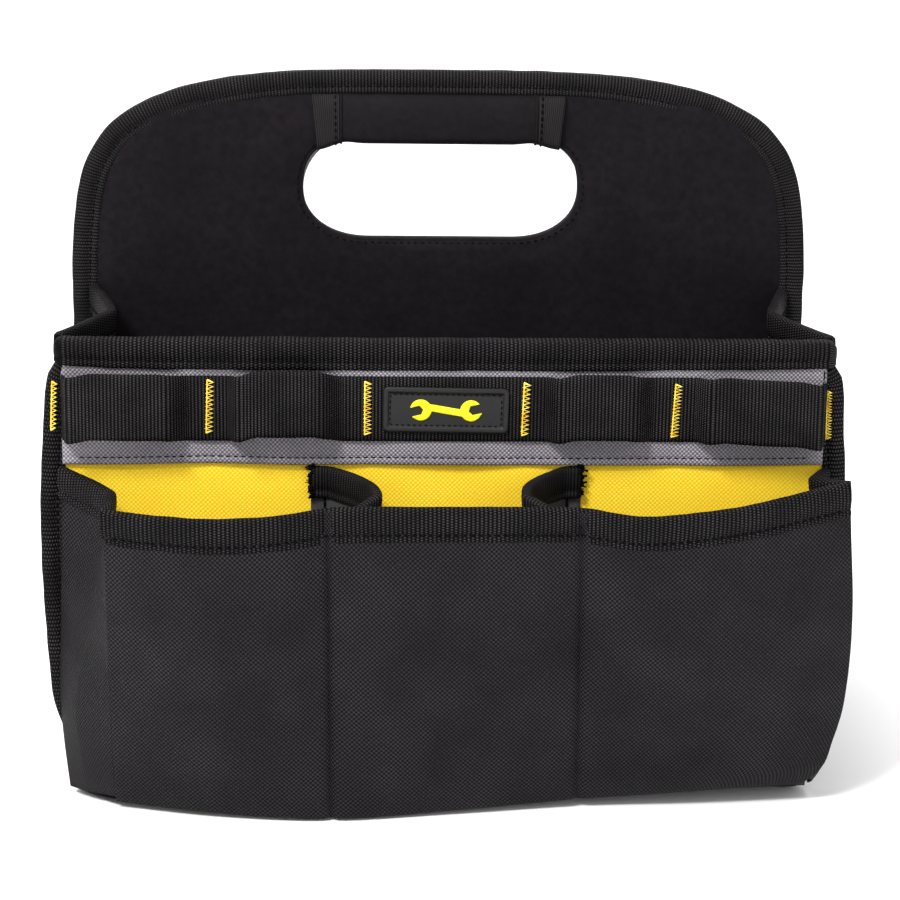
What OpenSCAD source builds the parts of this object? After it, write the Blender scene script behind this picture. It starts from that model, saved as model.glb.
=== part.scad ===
// Open tool tote: a stiff centre board with a hand slot, a compartment on each side of it,
// and on each outer wall a looped webbing strip above three bellows pockets.
// Millimetres. +Z is up, +X is to the right, the front wall faces -Y. The origin is on the
// floor, in the middle of the base. A rear piece is its front piece turned half a turn.

/* [Body] */
// Width of a wall over its seam bindings
wall_w = 309; // [303:1:370]
// How far the rim stays in from a wall's side, at each end
rim_in = 7; // [4:0.5:12]
// Height of the rim above the floor
rim_h = 182; // [160:1:220]
// Depth of one compartment, from board to wall
bay_d = 70; // [56:1:90]
// How far a side gusset folds inwards, at the rim
fold_d = 18; // [8:1:24]
// Radius of a wall's lower corners
corner_r = 16; // [10:1:24]

/* [Centre board] */
// How far the board stays in from a wall's side, at each end
board_in = 5.5; // [3:0.5:12]
// Height of the board's top edge
board_h = 276; // [264:1:330]
// Height over which the board's shoulders round off
shoulder_h = 84; // [60:1:90]
// Squareness of the shoulders: 2 is an ellipse
shoulder_n = 3.5; // [2:0.1:6]
// Width of the hand slot
slot_w = 110; // [96:1:132]
// Height of the hand slot
slot_h = 39.5; // [34:0.5:48]
// Height of the bar above the hand slot
bar_h = 27.5; // [22:0.5:36]
// Length of the padded grip, with its end tapes
grip_l = 102; // [60:1:118]

/* [Webbing] */
// Width of the webbing
webbing_w = 25; // [20:1:30]
// Distance between bar tacks
tack_pitch = 59; // [50:1:60]
// Clear height under a loop
loop_rise = 9; // [6:0.5:12]
// Gap between the rim tape and the webbing
webbing_gap = 2; // [0.5:0.5:6]

/* [Pockets] */
// Height of the pockets' top edge above the floor
pocket_h = 129; // [100:1:132]
// Depth of a pocket at its top
pocket_top_d = 44; // [30:1:55]
// Depth of a pocket at its foot
pocket_foot_d = 26; // [18:1:40]
// How much narrower the pocket panel is than the wall
pocket_short = 36; // [30:1:56]
// How far the pocket panel sits off the middle
pocket_slip = 11; // [0:0.5:12]
// Distance from the middle to a pocket divider, at the wall
divider_x = 47.5; // [36:0.5:56]
// How far an end gusset folds inwards, at the top
pleat_d = 12; // [6:1:16]
// How far a divider bows towards the middle pocket, at the top
bow_d = 20; // [8:1:24]

/* [Label] */
// Width of the label
label_w = 47; // [36:1:52]
// Height of the label
label_h = 17.5; // [12:0.5:19]

/* [Cloth and boards] */
// Thickness of the outer cloth
cloth_t = 0.8; // [0.6:0.1:1.2]
// Thickness of the lining
lining_t = 0.6; // [0.4:0.1:1]
// Thickness of a gusset's cloth
gusset_t = 1.2; // [0.8:0.1:1.6]
// Thickness of the binding tape
tape_t = 1.2; // [0.8:0.1:1.6]
// Thickness of the webbing
webbing_t = 1.4; // [1:0.1:2]
// Thickness of the centre board's core
core_t = 3; // [2:0.5:5]
// Thickness of a wall's stiffener
stiffener_t = 2.4; // [1.5:0.1:4]
// Thickness of the base board
base_board_t = 3; // [2:0.5:5]
// Thickness of the grip's foam
pad_t = 2; // [1:0.5:4]
// Visible width of the rim tape on each face
rim_leg = 12; // [9:0.5:14]
// Visible width of the seam binding on each face
seam_leg = 8; // [6:0.5:10]
// Visible width of the board's edge binding
board_leg = 9; // [6:0.5:12]

/* [Hidden] */
$fn = 64;
FRONT = 0;
REAR = 180;
LEFT = -1;
RIGHT = 1;

black = [0.09, 0.09, 0.1];
soft_black = [0.13, 0.12, 0.13];
grey = [0.45, 0.44, 0.46];
yellow = [0.98, 0.78, 0.12];

sliver = 0.02;        // thickness of the discs that a facet of cloth is hulled from
disc_sides = 8;
cut = 1;              // how far a cutting solid runs past what it cuts
run_on = 3;           // how far a web of cloth runs past what it is trimmed against
body_gap = 0.3;       // clearance between a gusset and the wall that hinges beside it
foot_gap = 0.6;       // a wall's lowest point above the floor

// Widths
rim_w = wall_w - 2 * rim_in;
board_w = wall_w - 2 * board_in;
pocket_w = wall_w - pocket_short;

// Centre board
board_half = core_t / 2 + cloth_t;
hem_t = cloth_t;
hem_leg = 4;
sleeve_t = cloth_t;
end_tape_w = 12.5;
end_tape_t = 0.8;
slot_z = board_h - bar_h - slot_h / 2;
sleeve_top = board_h - board_leg - tape_t;

// Base
base_clear = 1.2;     // between the base and the seam binding of a wall
lining_top = cloth_t + base_board_t + lining_t;

// Walls, as distances from the middle plane
wall_in = board_half + bay_d;
wall_t = lining_t + stiffener_t + cloth_t;
wall_out = wall_in + wall_t;
band_out = wall_out + cloth_t;
base_half_d = wall_in - tape_t - base_clear;
taper_z = rim_h - 32;             // a wall narrows towards its rim from here up
gusset_x = board_w / 2 - 1;
base_half_w = gusset_x + gusset_t / 2;
gusset_foot = lining_top;
gusset_from = board_half + tape_t;
gusset_to = wall_in - tape_t - body_gap;

// Webbing
webbing_top = rim_h - rim_leg - webbing_gap;
webbing_half_l = wall_w / 2 - seam_leg;
tack_w = 3;
tack_t = 0.7;
tack_h = webbing_w - 4;
tack_land = 4;        // half the stretch that lies flat at a tack
loop_ramp = 9;        // length of a loop's sloping end
tack_spots = [-1.5, -0.5, 0.5, 1.5];
loop_spots = [-2, -1, 1, 2];
end_tack_x = wall_w / 2 - seam_leg / 2 - 1;

// Grey band
band_foot = webbing_top - webbing_w - 9.5;
band_half_l = min(webbing_half_l, rim_w / 2 - tape_t);

// Pockets
panel_t = 1;
pocket_foot = 4;
pocket_rise = pocket_h - pocket_foot;
pocket_lean = pocket_top_d - pocket_foot_d;
pocket_len = sqrt(pocket_rise ^ 2 + pocket_lean ^ 2);
end_root = wall_w / 2 - seam_leg - 2;
end_tip = pocket_w / 2 - 1;
pleat_foot_share = 0.25;          // a gusset's fold at its foot, against its fold at the top
divider_slip = pocket_slip / 4;

// Label
label_t = 1.4;
label_rim_w = 1.2;
label_rim_t = 0.5;
emblem_t = 0.6;
spanner_l = 17;
spanner_w = 2.8;
spanner_head_d = 8;
spanner_jaw = 3.2;

// ---------- shared shapes ----------

// Extrudes an (x, z) outline towards the front, from distance y0 to y0 + t
module slab(y0, t) translate([0, -y0, 0]) rotate([90, 0, 0]) linear_extrude(t) children();

// Extrudes a (y, z) outline along X, centred
module across(w) translate([-w / 2, 0, 0]) rotate([90, 0, 90]) linear_extrude(w) children();

module on_side(side) rotate([0, 0, side]) children();

module to_side(side) if (side < 0) mirror([1, 0, 0]) children(); else children();

// A quarter turn of an outline's corner about (x, z), from angle a onwards
function corner(x, z, r, a) = [for (i = [0 : 8]) [x + r * cos(a + i * 90 / 8),
                                                  z + r * sin(a + i * 90 / 8)]];

// A flat three-cornered piece of cloth
module facet(a, b, c, t) hull() for (p = [a, b, c])
    translate(p) cylinder(h = sliver, d = t, center = true, $fn = disc_sides);

// The leaning part of a folded web of cloth. low and high are its [root, fold, tip]
module folded_web(low, high, t) for (end = [0, 2]) {
    facet(low[end], low[1], high[1], t);
    facet(low[end], high[end], high[1], t);
}

// The plan of a flat strip from a to b, run on by half its thickness at both ends
module strip(a, b, t) {
    along = (b - a) / norm(b - a) * t / 2;
    aside = [-along[1], along[0]];
    polygon([a - along + aside, a - along - aside, b + along - aside, b + along + aside]);
}

// The upright part of a folded web, above its leaning part
module folded_top(line, t, z0, z1) translate([0, 0, z0]) linear_extrude(z1 - z0)
    for (i = [0, 1]) strip([line[i][0], line[i][1]], [line[i + 1][0], line[i + 1][1]], t);

// ---------- centre board ----------

// Top of the board at x: a superellipse shoulder
function shoulder(u, a, b) = [a * sign(cos(u)) * abs(cos(u)) ^ (2 / shoulder_n),
                              b * abs(sin(u)) ^ (2 / shoulder_n)];

module board_outline(inset) {
    half = board_w / 2 - inset;
    rise = shoulder_h - inset;
    steps = 36;
    translate([0, board_h - shoulder_h]) polygon(concat(
        [[-half, lining_top - board_h + shoulder_h], [half, lining_top - board_h + shoulder_h]],
        [for (i = [0 : steps]) shoulder(180 * i / steps, half, rise)]));
}

// The hand slot's outline, smaller by shrink all round
module slot_outline(shrink) {
    r = slot_h / 2 - shrink;
    half = slot_w / 2 - shrink - r;
    translate([0, slot_z]) {
        translate([-half, -r]) square([2 * half, 2 * r]);
        for (s = [LEFT, RIGHT]) translate([s * half, 0]) circle(r);
    }
}

module board_layer(y0, t) slab(y0, t) difference() {
    board_outline(tape_t);
    slot_outline(-hem_t);
}

module board_core() color(grey) board_layer(-core_t / 2, core_t);
module board_cover(side) color(soft_black) on_side(side) board_layer(core_t / 2, cloth_t);

module board_edge_binding() color(black) difference() {
    slab(-board_half - tape_t, 2 * (board_half + tape_t)) board_outline(0);
    slab(-board_half, 2 * board_half) difference() {
        board_outline(tape_t);
        translate([-board_w, 0]) square([2 * board_w, lining_top]);
    }
    slab(-board_half - tape_t - cut, 2 * (board_half + tape_t + cut)) difference() {
        union() {
            board_outline(board_leg);
            translate([-board_w / 2 + board_leg, 0]) square([board_w - 2 * board_leg, rim_h]);
        }
    }
}

module slot_hem() color(black) difference() {
    slab(-board_half - hem_t, 2 * (board_half + hem_t)) difference() {
        slot_outline(-hem_leg);
        slot_outline(0);
    }
    slab(-board_half, 2 * board_half) difference() {
        slot_outline(-hem_leg - cut);
        slot_outline(-hem_t);
    }
}

// What the grip fills when it stands k proud of the hemmed bar, between x0 and x1
module grip_envelope(k, x0, x1) {
    half = board_half + hem_t + k;
    slab(-half, 2 * half) difference() {
        translate([x0, slot_z]) square([x1 - x0, sleeve_top - slot_z]);
        slot_outline(k);
    }
}

// One wrap round the bar, from k0 to k1 proud of it
module grip_wrap(k0, k1, x0, x1) difference() {
    grip_envelope(k1, x0, x1);
    grip_envelope(k0, x0 - cut, x1 + cut);
    translate([x0 - cut, -board_half - hem_t - k0, sleeve_top - cut / 2])
        cube([x1 - x0 + 2 * cut, 2 * (board_half + hem_t + k0), cut]);
}

module grip_pad() color(grey) grip_wrap(0, pad_t, -grip_l / 2, grip_l / 2);
module grip_sleeve() color(soft_black)
    grip_wrap(pad_t, pad_t + sleeve_t, -grip_l / 2, grip_l / 2);
module grip_end_tape(side) color(black) to_side(side)
    grip_wrap(pad_t + sleeve_t, pad_t + sleeve_t + end_tape_t,
              grip_l / 2 - end_tape_w, grip_l / 2);

// ---------- base ----------

module base_layer(z, t, inset) translate([-base_half_w + inset, -base_half_d + inset, z])
    cube([2 * (base_half_w - inset), 2 * (base_half_d - inset), t]);

module base_cloth() color(black) base_layer(0, cloth_t, 0);
module base_board() color(grey) base_layer(cloth_t, base_board_t, 2);
module base_lining() color(soft_black) base_layer(cloth_t + base_board_t, lining_t, 0);

// ---------- side gussets ----------

gusset_top = rim_h - rim_leg;       // a gusset stands upright from here up, under its tape

// Root, fold and tip of a gusset at height z, run on past the board and the wall
function gusset_line(z) = let (in = fold_d * (z - gusset_foot) / (gusset_top - gusset_foot)) [
    [gusset_x, -gusset_from + run_on, z],
    [gusset_x - in, -(gusset_from + gusset_to) / 2, z],
    [gusset_x, -gusset_to - run_on, z]];

// What lies between the board and the wall, from height z0 to z1
module gusset_room(z0, z1) translate([0, -gusset_to, z0])
    cube([wall_w, gusset_to - gusset_from, z1 - z0]);

module gusset_upright(t, z1) folded_top(gusset_line(gusset_top), t, gusset_top, z1);

module gusset(side, x_side) color(black) on_side(side) to_side(x_side) intersection() {
    union() {
        folded_web(gusset_line(gusset_foot - cut), gusset_line(gusset_top), gusset_t);
        gusset_upright(gusset_t, rim_h);
    }
    gusset_room(gusset_foot, rim_h - tape_t);
}

module gusset_tape(side, x_side) color(black) on_side(side) to_side(x_side) intersection() {
    difference() {
        gusset_upright(gusset_t + 2 * tape_t, rim_h);
        translate([0, 0, -tape_t]) gusset_upright(gusset_t, rim_h);
    }
    gusset_room(gusset_top, rim_h);
}

// ---------- walls ----------

// A wall's outline: rim_half wide at the top, straight below taper_z, rounded at the foot
module wall_outline(inset, top, rim_half) {
    half = wall_w / 2 - inset;
    r = corner_r - inset;
    z = foot_gap + corner_r;
    polygon(concat([[rim_half, top], [-rim_half, top], [-half, taper_z]],
                   corner(-half + r, z, r, 180), corner(half - r, z, r, 270),
                   [[half, taper_z]]));
}

module wall_layer(y0, t) slab(y0, t)
    wall_outline(tape_t, rim_h - tape_t, rim_w / 2 - tape_t);

module wall_lining(side) color(soft_black) on_side(side) wall_layer(wall_in, lining_t);
module wall_stiffener(side) color(grey) on_side(side)
    wall_layer(wall_in + lining_t, stiffener_t);
module wall_panel(side) color(yellow) on_side(side)
    wall_layer(wall_in + lining_t + stiffener_t, cloth_t);

module wall_band(side) color(grey) on_side(side)
    across(2 * band_half_l) polygon([
        [-wall_out, band_foot], [-band_out, band_foot],
        [-band_out, rim_h - tape_t], [-wall_out, rim_h - tape_t]]);

module rim_binding(side) color(black) on_side(side) across(rim_w) polygon([
    [-band_out - tape_t, rim_h - rim_leg], [-band_out - tape_t, rim_h],
    [-wall_in + tape_t, rim_h], [-wall_in + tape_t, rim_h - rim_leg],
    [-wall_in, rim_h - rim_leg], [-wall_in, rim_h - tape_t],
    [-band_out, rim_h - tape_t], [-band_out, rim_h - rim_leg]]);

module seam_binding(side) color(black) on_side(side) difference() {
    slab(wall_in - tape_t, wall_t + 2 * tape_t) intersection() {
        wall_outline(0, rim_h, rim_w / 2);
        translate([-wall_w, 0]) square([2 * wall_w, rim_h - rim_leg]);
    }
    wall_layer(wall_in, wall_t);
    slab(wall_in - tape_t - cut, wall_t + 2 * (tape_t + cut))
        wall_outline(seam_leg, rim_h, webbing_half_l);
    // The pockets are sewn down over the foot of the outer face
    translate([-wall_w, -wall_out - tape_t - cut, -cut])
        cube([2 * wall_w, tape_t + cut, foot_gap + corner_r + cut]);
}

// ---------- webbing ----------

// The webbing's inner face over one loop that is centred on x
function loop_points(x, y, rise) = let (half = tack_pitch / 2 - tack_land) [
    [x - half, y], [x - half + loop_ramp, y + rise],
    [x + half - loop_ramp, y + rise], [x + half, y]];

function webbing_face(y) = concat([[-webbing_half_l, y]],
    [for (s = loop_spots) each loop_points(s * tack_pitch, y, loop_rise)],
    [[webbing_half_l, y]]);

function reversed(list) = [for (i = [len(list) - 1 : -1 : 0]) list[i]];
function forwards(list) = [for (p = list) [p[0], -p[1]]];

module webbing(side) color(black) on_side(side)
    translate([0, 0, webbing_top - webbing_w]) linear_extrude(webbing_w)
        polygon(concat(forwards(webbing_face(band_out)),
                       reversed(forwards(webbing_face(band_out + webbing_t)))));

module tack(x, y) translate([x - tack_w / 2, -y - tack_t, webbing_top - (webbing_w + tack_h) / 2])
    cube([tack_w, tack_t, tack_h]);

module bar_tacks(side) color(yellow) on_side(side) {
    for (s = tack_spots) tack(s * tack_pitch, band_out + webbing_t);
    for (s = [LEFT, RIGHT]) tack(s * end_tack_x, wall_out + tape_t);
}

// ---------- label ----------

module label_outline(inset) square([label_w - 2 * inset, label_h - 2 * inset], center = true);

module on_label(y0, t) translate([0, 0, webbing_top - webbing_w / 2])
    slab(band_out + webbing_t + y0, t) children();

module label() color(black) {
    on_label(0, label_t) label_outline(0);
    on_label(label_t, label_rim_t) difference() {
        label_outline(0);
        label_outline(label_rim_w);
    }
}

// A plain open-ended spanner
module spanner_outline() difference() {
    union() {
        square([spanner_l, spanner_w], center = true);
        for (s = [LEFT, RIGHT]) translate([s * spanner_l / 2, 0]) circle(d = spanner_head_d);
    }
    for (s = [LEFT, RIGHT]) translate([s * (spanner_l + spanner_head_d) / 2, 0])
        rotate(s * 15) square([spanner_head_d, spanner_jaw], center = true);
}

module emblem() color(yellow) on_label(label_t, emblem_t) spanner_outline();

// ---------- pockets ----------

// Depth of the pockets at height z
function pocket_depth(z) = pocket_foot_d + pocket_lean * (z - pocket_foot) / pocket_rise;

// A (y, z) point on the pocket panel: s up from its foot, k out from its inner face
function on_panel(s, k) = [
    -wall_out - pocket_foot_d - (pocket_lean * s + pocket_rise * k) / pocket_len,
    pocket_foot + (pocket_rise * s - pocket_lean * k) / pocket_len];

module pocket_strip() translate([pocket_slip, 0, 0]) across(pocket_w) children();

module pocket_panel(side) color(black) on_side(side) pocket_strip() polygon([
    on_panel(-panel_t, 0), on_panel(pocket_len, 0),
    on_panel(pocket_len, panel_t), on_panel(-panel_t, panel_t)]);

// The room between the wall and the leaning panel, from z0 to z1
module behind_panel(z0, z1) across(2 * wall_w) polygon([
    [-wall_out, z0], [-wall_out - pocket_depth(z0), z0],
    [-wall_out - pocket_depth(z1), z1], [-wall_out, z1]]);

module pocket_base(side) color(black) on_side(side) intersection() {
    translate([0, 0, pocket_foot - panel_t]) linear_extrude(panel_t) polygon([
        [-end_root, -wall_out], [end_root, -wall_out],
        [pocket_slip + pocket_w / 2, -wall_out - pocket_foot_d],
        [pocket_slip - pocket_w / 2, -wall_out - pocket_foot_d]]);
    behind_panel(pocket_foot - panel_t, pocket_foot);
}

module pocket_binding(side) color(black) on_side(side) pocket_strip() polygon([
    on_panel(pocket_len - rim_leg, -tape_t), on_panel(pocket_len + tape_t, -tape_t),
    on_panel(pocket_len + tape_t, panel_t + tape_t),
    on_panel(pocket_len - rim_leg, panel_t + tape_t),
    on_panel(pocket_len - rim_leg, panel_t), on_panel(pocket_len, panel_t),
    on_panel(pocket_len, 0), on_panel(pocket_len - rim_leg, 0)]);

// The room that gussets may fill between z0 and z1: behind the panel and its binding
module pocket_room(z0, z1) difference() {
    behind_panel(z0, z1);
    across(2 * wall_w + cut) polygon([
        on_panel(pocket_len - rim_leg, -tape_t), on_panel(pocket_len + 3 * tape_t, -tape_t),
        on_panel(pocket_len + 3 * tape_t, 2 * tape_t),
        on_panel(pocket_len - rim_leg, 2 * tape_t)]);
}

pleat_top = pocket_h - rim_leg;     // a pocket gusset stands upright from here up

// Root, fold and tip of a pocket gusset at height z, run on past the wall and the panel.
// place is [x of its root, x of its tip, fold at the top]
function pleat_line(z, place) = let (
    share = (z - pocket_foot) / (pleat_top - pocket_foot),
    fold = place[2] * (pleat_foot_share + (1 - pleat_foot_share) * share),
    deep = pocket_depth(z)) [
        [place[0], -wall_out + run_on, z],
        [(place[0] + place[1]) / 2 + fold, -wall_out - deep / 2, z],
        [place[1], -wall_out - deep - run_on, z]];

function divider_place(x_side) = [
    x_side * divider_x, x_side * divider_x + divider_slip, -x_side * bow_d];
function end_place(x_side) = [
    x_side * end_root, x_side * end_tip + pocket_slip, -x_side * pleat_d];

module pleat_upright(place, t, z1)
    folded_top(pleat_line(pleat_top, place), t, pleat_top, z1);

module pocket_gusset(side, place) color(black) on_side(side) intersection() {
    union() {
        folded_web(pleat_line(pocket_foot - cut, place), pleat_line(pleat_top, place), panel_t);
        pleat_upright(place, panel_t, pocket_h);
    }
    pocket_room(pocket_foot, pocket_h - tape_t);
}

module gusset_top_tape(place) intersection() {
    difference() {
        pleat_upright(place, panel_t + 2 * tape_t, pocket_h);
        translate([0, 0, -tape_t]) pleat_upright(place, panel_t, pocket_h);
    }
    pocket_room(pleat_top, pocket_h);
}

module pocket_gusset_tapes(side) color(black) on_side(side)
    for (x_side = [LEFT, RIGHT]) {
        gusset_top_tape(divider_place(x_side));
        gusset_top_tape(end_place(x_side));
    }

// ---------- nodes ----------

board_core();
board_cover(FRONT);  // board_cover_front
board_cover(REAR);  // board_cover_rear
board_edge_binding();
slot_hem();
grip_pad();
grip_sleeve();
grip_end_tape(LEFT);  // grip_end_tape_left
grip_end_tape(RIGHT);  // grip_end_tape_right
base_cloth();
base_board();
base_lining();
// A rear piece is turned half a turn, so its left and right change places
gusset(FRONT, LEFT);  // gusset_front_left
gusset(FRONT, RIGHT);  // gusset_front_right
gusset(REAR, RIGHT);  // gusset_rear_left
gusset(REAR, LEFT);  // gusset_rear_right
gusset_tape(FRONT, LEFT);  // gusset_tape_front_left
gusset_tape(FRONT, RIGHT);  // gusset_tape_front_right
gusset_tape(REAR, RIGHT);  // gusset_tape_rear_left
gusset_tape(REAR, LEFT);  // gusset_tape_rear_right
wall_lining(FRONT);  // front_lining
wall_stiffener(FRONT);  // front_stiffener
wall_panel(FRONT);  // front_panel
wall_band(FRONT);  // front_band
rim_binding(FRONT);  // front_rim_binding
seam_binding(FRONT);  // front_seam_binding
webbing(FRONT);  // front_webbing
bar_tacks(FRONT);  // front_bar_tacks
label();  // front_label
emblem();  // front_emblem
pocket_panel(FRONT);  // front_pocket_panel
pocket_base(FRONT);  // front_pocket_base
pocket_gusset(FRONT, end_place(LEFT));  // front_pocket_end_left
pocket_gusset(FRONT, end_place(RIGHT));  // front_pocket_end_right
pocket_gusset(FRONT, divider_place(LEFT));  // front_pocket_divider_left
pocket_gusset(FRONT, divider_place(RIGHT));  // front_pocket_divider_right
pocket_binding(FRONT);  // front_pocket_binding
pocket_gusset_tapes(FRONT);  // front_pocket_gusset_tapes
wall_lining(REAR);  // rear_lining
wall_stiffener(REAR);  // rear_stiffener
wall_panel(REAR);  // rear_panel
wall_band(REAR);  // rear_band
rim_binding(REAR);  // rear_rim_binding
seam_binding(REAR);  // rear_seam_binding
webbing(REAR);  // rear_webbing
bar_tacks(REAR);  // rear_bar_tacks
pocket_panel(REAR);  // rear_pocket_panel
pocket_base(REAR);  // rear_pocket_base
pocket_gusset(REAR, end_place(RIGHT));  // rear_pocket_end_left
pocket_gusset(REAR, end_place(LEFT));  // rear_pocket_end_right
pocket_gusset(REAR, divider_place(RIGHT));  // rear_pocket_divider_left
pocket_gusset(REAR, divider_place(LEFT));  // rear_pocket_divider_right
pocket_binding(REAR);  // rear_pocket_binding
pocket_gusset_tapes(REAR);  // rear_pocket_gusset_tapes
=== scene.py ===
import math

import bpy
import numpy as np
from mathutils import Matrix, Vector, noise


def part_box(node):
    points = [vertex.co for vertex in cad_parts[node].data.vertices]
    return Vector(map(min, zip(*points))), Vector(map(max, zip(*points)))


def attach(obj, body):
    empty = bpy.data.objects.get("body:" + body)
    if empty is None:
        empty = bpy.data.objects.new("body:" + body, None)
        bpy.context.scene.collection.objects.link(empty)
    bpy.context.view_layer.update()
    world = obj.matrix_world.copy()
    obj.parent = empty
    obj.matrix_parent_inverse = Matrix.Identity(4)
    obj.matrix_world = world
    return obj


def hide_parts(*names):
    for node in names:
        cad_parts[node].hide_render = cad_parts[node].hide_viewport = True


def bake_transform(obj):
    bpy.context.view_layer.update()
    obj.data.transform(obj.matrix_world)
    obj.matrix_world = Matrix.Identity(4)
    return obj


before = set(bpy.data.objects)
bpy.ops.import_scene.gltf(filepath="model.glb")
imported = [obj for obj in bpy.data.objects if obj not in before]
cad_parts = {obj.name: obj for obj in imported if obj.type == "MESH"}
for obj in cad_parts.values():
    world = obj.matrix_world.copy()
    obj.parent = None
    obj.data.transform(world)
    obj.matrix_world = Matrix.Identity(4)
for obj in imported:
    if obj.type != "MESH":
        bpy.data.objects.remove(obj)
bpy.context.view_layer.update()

MM = 0.001


# ---------- sizes, from the frame ----------

def span(node):
    """A CAD node's lowest and highest corners, in millimetres."""
    low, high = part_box(node)
    return np.array(low) / MM, np.array(high) / MM


BOARD_LOW, BOARD_HIGH = span("board_edge_binding")
BOARD_HALF_W = BOARD_HIGH[0]
BOARD_TOP = BOARD_HIGH[2]
BOARD_FOOT = BOARD_LOW[2]
COVER_OUT = span("board_cover_rear")[1][1]
SHOULDER_H = 84
SHOULDER_N = 3.5
EDGE_LEG = 9

SLOT_LOW, SLOT_HIGH = span("slot_hem")
HEM_LEG = 4
SLOT_HALF_W = SLOT_HIGH[0] - HEM_LEG
SLOT_HALF_H = (SLOT_HIGH[2] - SLOT_LOW[2]) / 2 - HEM_LEG
SLOT_Z = (SLOT_HIGH[2] + SLOT_LOW[2]) / 2
GRIP_HALF_L = span("grip_sleeve")[1][0]
GRIP_TOP = span("grip_sleeve")[1][2]
GRIP_OUT = span("grip_sleeve")[1][1]
END_TAPE_W = 12.5

RIM_Z = span("rear_rim_binding")[1][2]
RIM_LEG = RIM_Z - span("rear_rim_binding")[0][2]
RIM_HALF_L = span("rear_rim_binding")[1][0]
WALL_HALF_W = span("rear_seam_binding")[1][0]
WALL_IN = span("rear_lining")[0][1]
LINING_OUT = span("rear_lining")[1][1]
WALL_OUT = span("rear_panel")[1][1]
WALL_FOOT = span("rear_seam_binding")[0][2]
SIDE_LEG = 9.2
BAND_FOOT = span("rear_band")[0][2]
BAND_T = span("rear_band")[1][1] - WALL_OUT
WEB_LOW = span("rear_webbing")[0][2]
WEB_HIGH = span("rear_webbing")[1][2]
WEB_T = 1.4
LOOP_RISE = span("rear_webbing")[1][1] - WALL_OUT - BAND_T - WEB_T
WEB_BACK = WALL_OUT + BAND_T + 1.2      # the webbing's back, where it lies flat
TACKS = (-148.1, -89.7, -30.3, 29.6, 87.0, 145.6)
LABEL_HALF_W = 23.8
LABEL_HALF_H = 8.7

FLOOR_Z = span("base_lining")[1][2]
FLOOR_INSET = 3.6       # the floor's cloth stops short of the walls, which swing in over it
GUSSET_TOP = span("gusset_tape_front_left")[1][2]
TAPE_T = 1.2
CLOTH_T = 0.9


# ---------- small maths ----------

def smooth(t):
    """0 below 0, 1 above 1, and an S between them."""
    t = np.clip(t, 0, 1)
    return t * t * (3 - 2 * t)


def hump(t, power=1.0):
    """0 at 0 and 1, and 1 half way."""
    return np.sin(np.pi * np.clip(t, 0, 1)) ** power


def through(keys, at):
    """A smooth curve through keys, which are (place, value) or (place, value, value...)."""
    keys = np.array(keys, float)
    x, y = keys[:, 0], keys[:, 1:]
    slope = np.gradient(y, x, axis=0)
    at = np.atleast_1d(np.clip(at, x[0], x[-1]))
    i = np.clip(np.searchsorted(x, at, side="right") - 1, 0, len(x) - 2)
    h = (x[i + 1] - x[i])[:, None]
    t = ((at - x[i]) / (x[i + 1] - x[i]))[:, None]
    found = ((2 * t**3 - 3 * t**2 + 1) * y[i] + (t**3 - 2 * t**2 + t) * h * slope[i]
             + (3 * t**2 - 2 * t**3) * y[i + 1] + (t**3 - t**2) * h * slope[i + 1])
    return found[:, 0] if found.shape[1] == 1 else found


def ripple(points, size, seed=0.0):
    """Soft noise, from about -1 to 1, over (..., 3) points; size is one wave's length."""
    flat = np.asarray(points, float).reshape(-1, 3) / size + seed
    values = [noise.noise(Vector(p)) for p in flat]
    return np.array(values).reshape(np.shape(points)[:-1])


def lengths(path):
    """Distance along a path, at each of its points."""
    return np.concatenate([[0], np.cumsum(np.linalg.norm(np.diff(path, axis=0), axis=1))])


def unit(v):
    """v with a length of 1, along its last axis."""
    return v / np.maximum(np.linalg.norm(v, axis=-1, keepdims=True), 1e-9)


def along(path):
    """Unit tangents of a path."""
    return unit(np.gradient(path, axis=0))


def sampled(at, places, rows):
    """Rows that lie at places, read off at other places."""
    return np.stack([np.interp(at, places, column) for column in rows.T], axis=-1)


def even(path, step):
    """The path again, with points about step apart."""
    s = lengths(path)
    return sampled(np.linspace(0, s[-1], max(2, int(round(s[-1] / step)) + 1)), s, path)


def lerp(a, b, t):
    """From a at 0 to b at 1."""
    return a + (b - a) * t


def cloth_uv(u, v):
    """Texture coordinates of a grid, from its rows' u and its columns' v."""
    return np.stack(np.broadcast_arrays(u[:, None], v[None, :]), axis=2)


def wrapped(columns):
    """A grid with its first column again at its end."""
    return np.concatenate([columns, columns[:, :1]], axis=1)


def towards(path, middle):
    """Unit vectors in the (x, z) plane, square to a path and on the side of middle."""
    t = along(path)
    inwards = np.column_stack([-t[:, 2], np.zeros(len(t)), t[:, 0]])
    return inwards * np.sign(np.sum(inwards * (middle - path), axis=1))[:, None]


# ---------- meshes ----------

def placed(name, data):
    """A new object in the scene."""
    obj = bpy.data.objects.new(name, data)
    bpy.context.scene.collection.objects.link(obj)
    return obj


def piece(name, points, faces, corners, material):
    """A mesh object from points in millimetres. corners has one (u, v) in millimetres per face corner."""
    mesh = bpy.data.meshes.new(name)
    mesh.from_pydata((np.asarray(points) * MM).tolist(), [], faces)
    layer = mesh.uv_layers.new(name="cloth")
    layer.data.foreach_set("uv", np.asarray(corners, np.float32).ravel())
    mesh.polygons.foreach_set("use_smooth", [True] * len(mesh.polygons))
    mesh.materials.append(material)
    mesh.validate()
    return placed(name, mesh)


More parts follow.
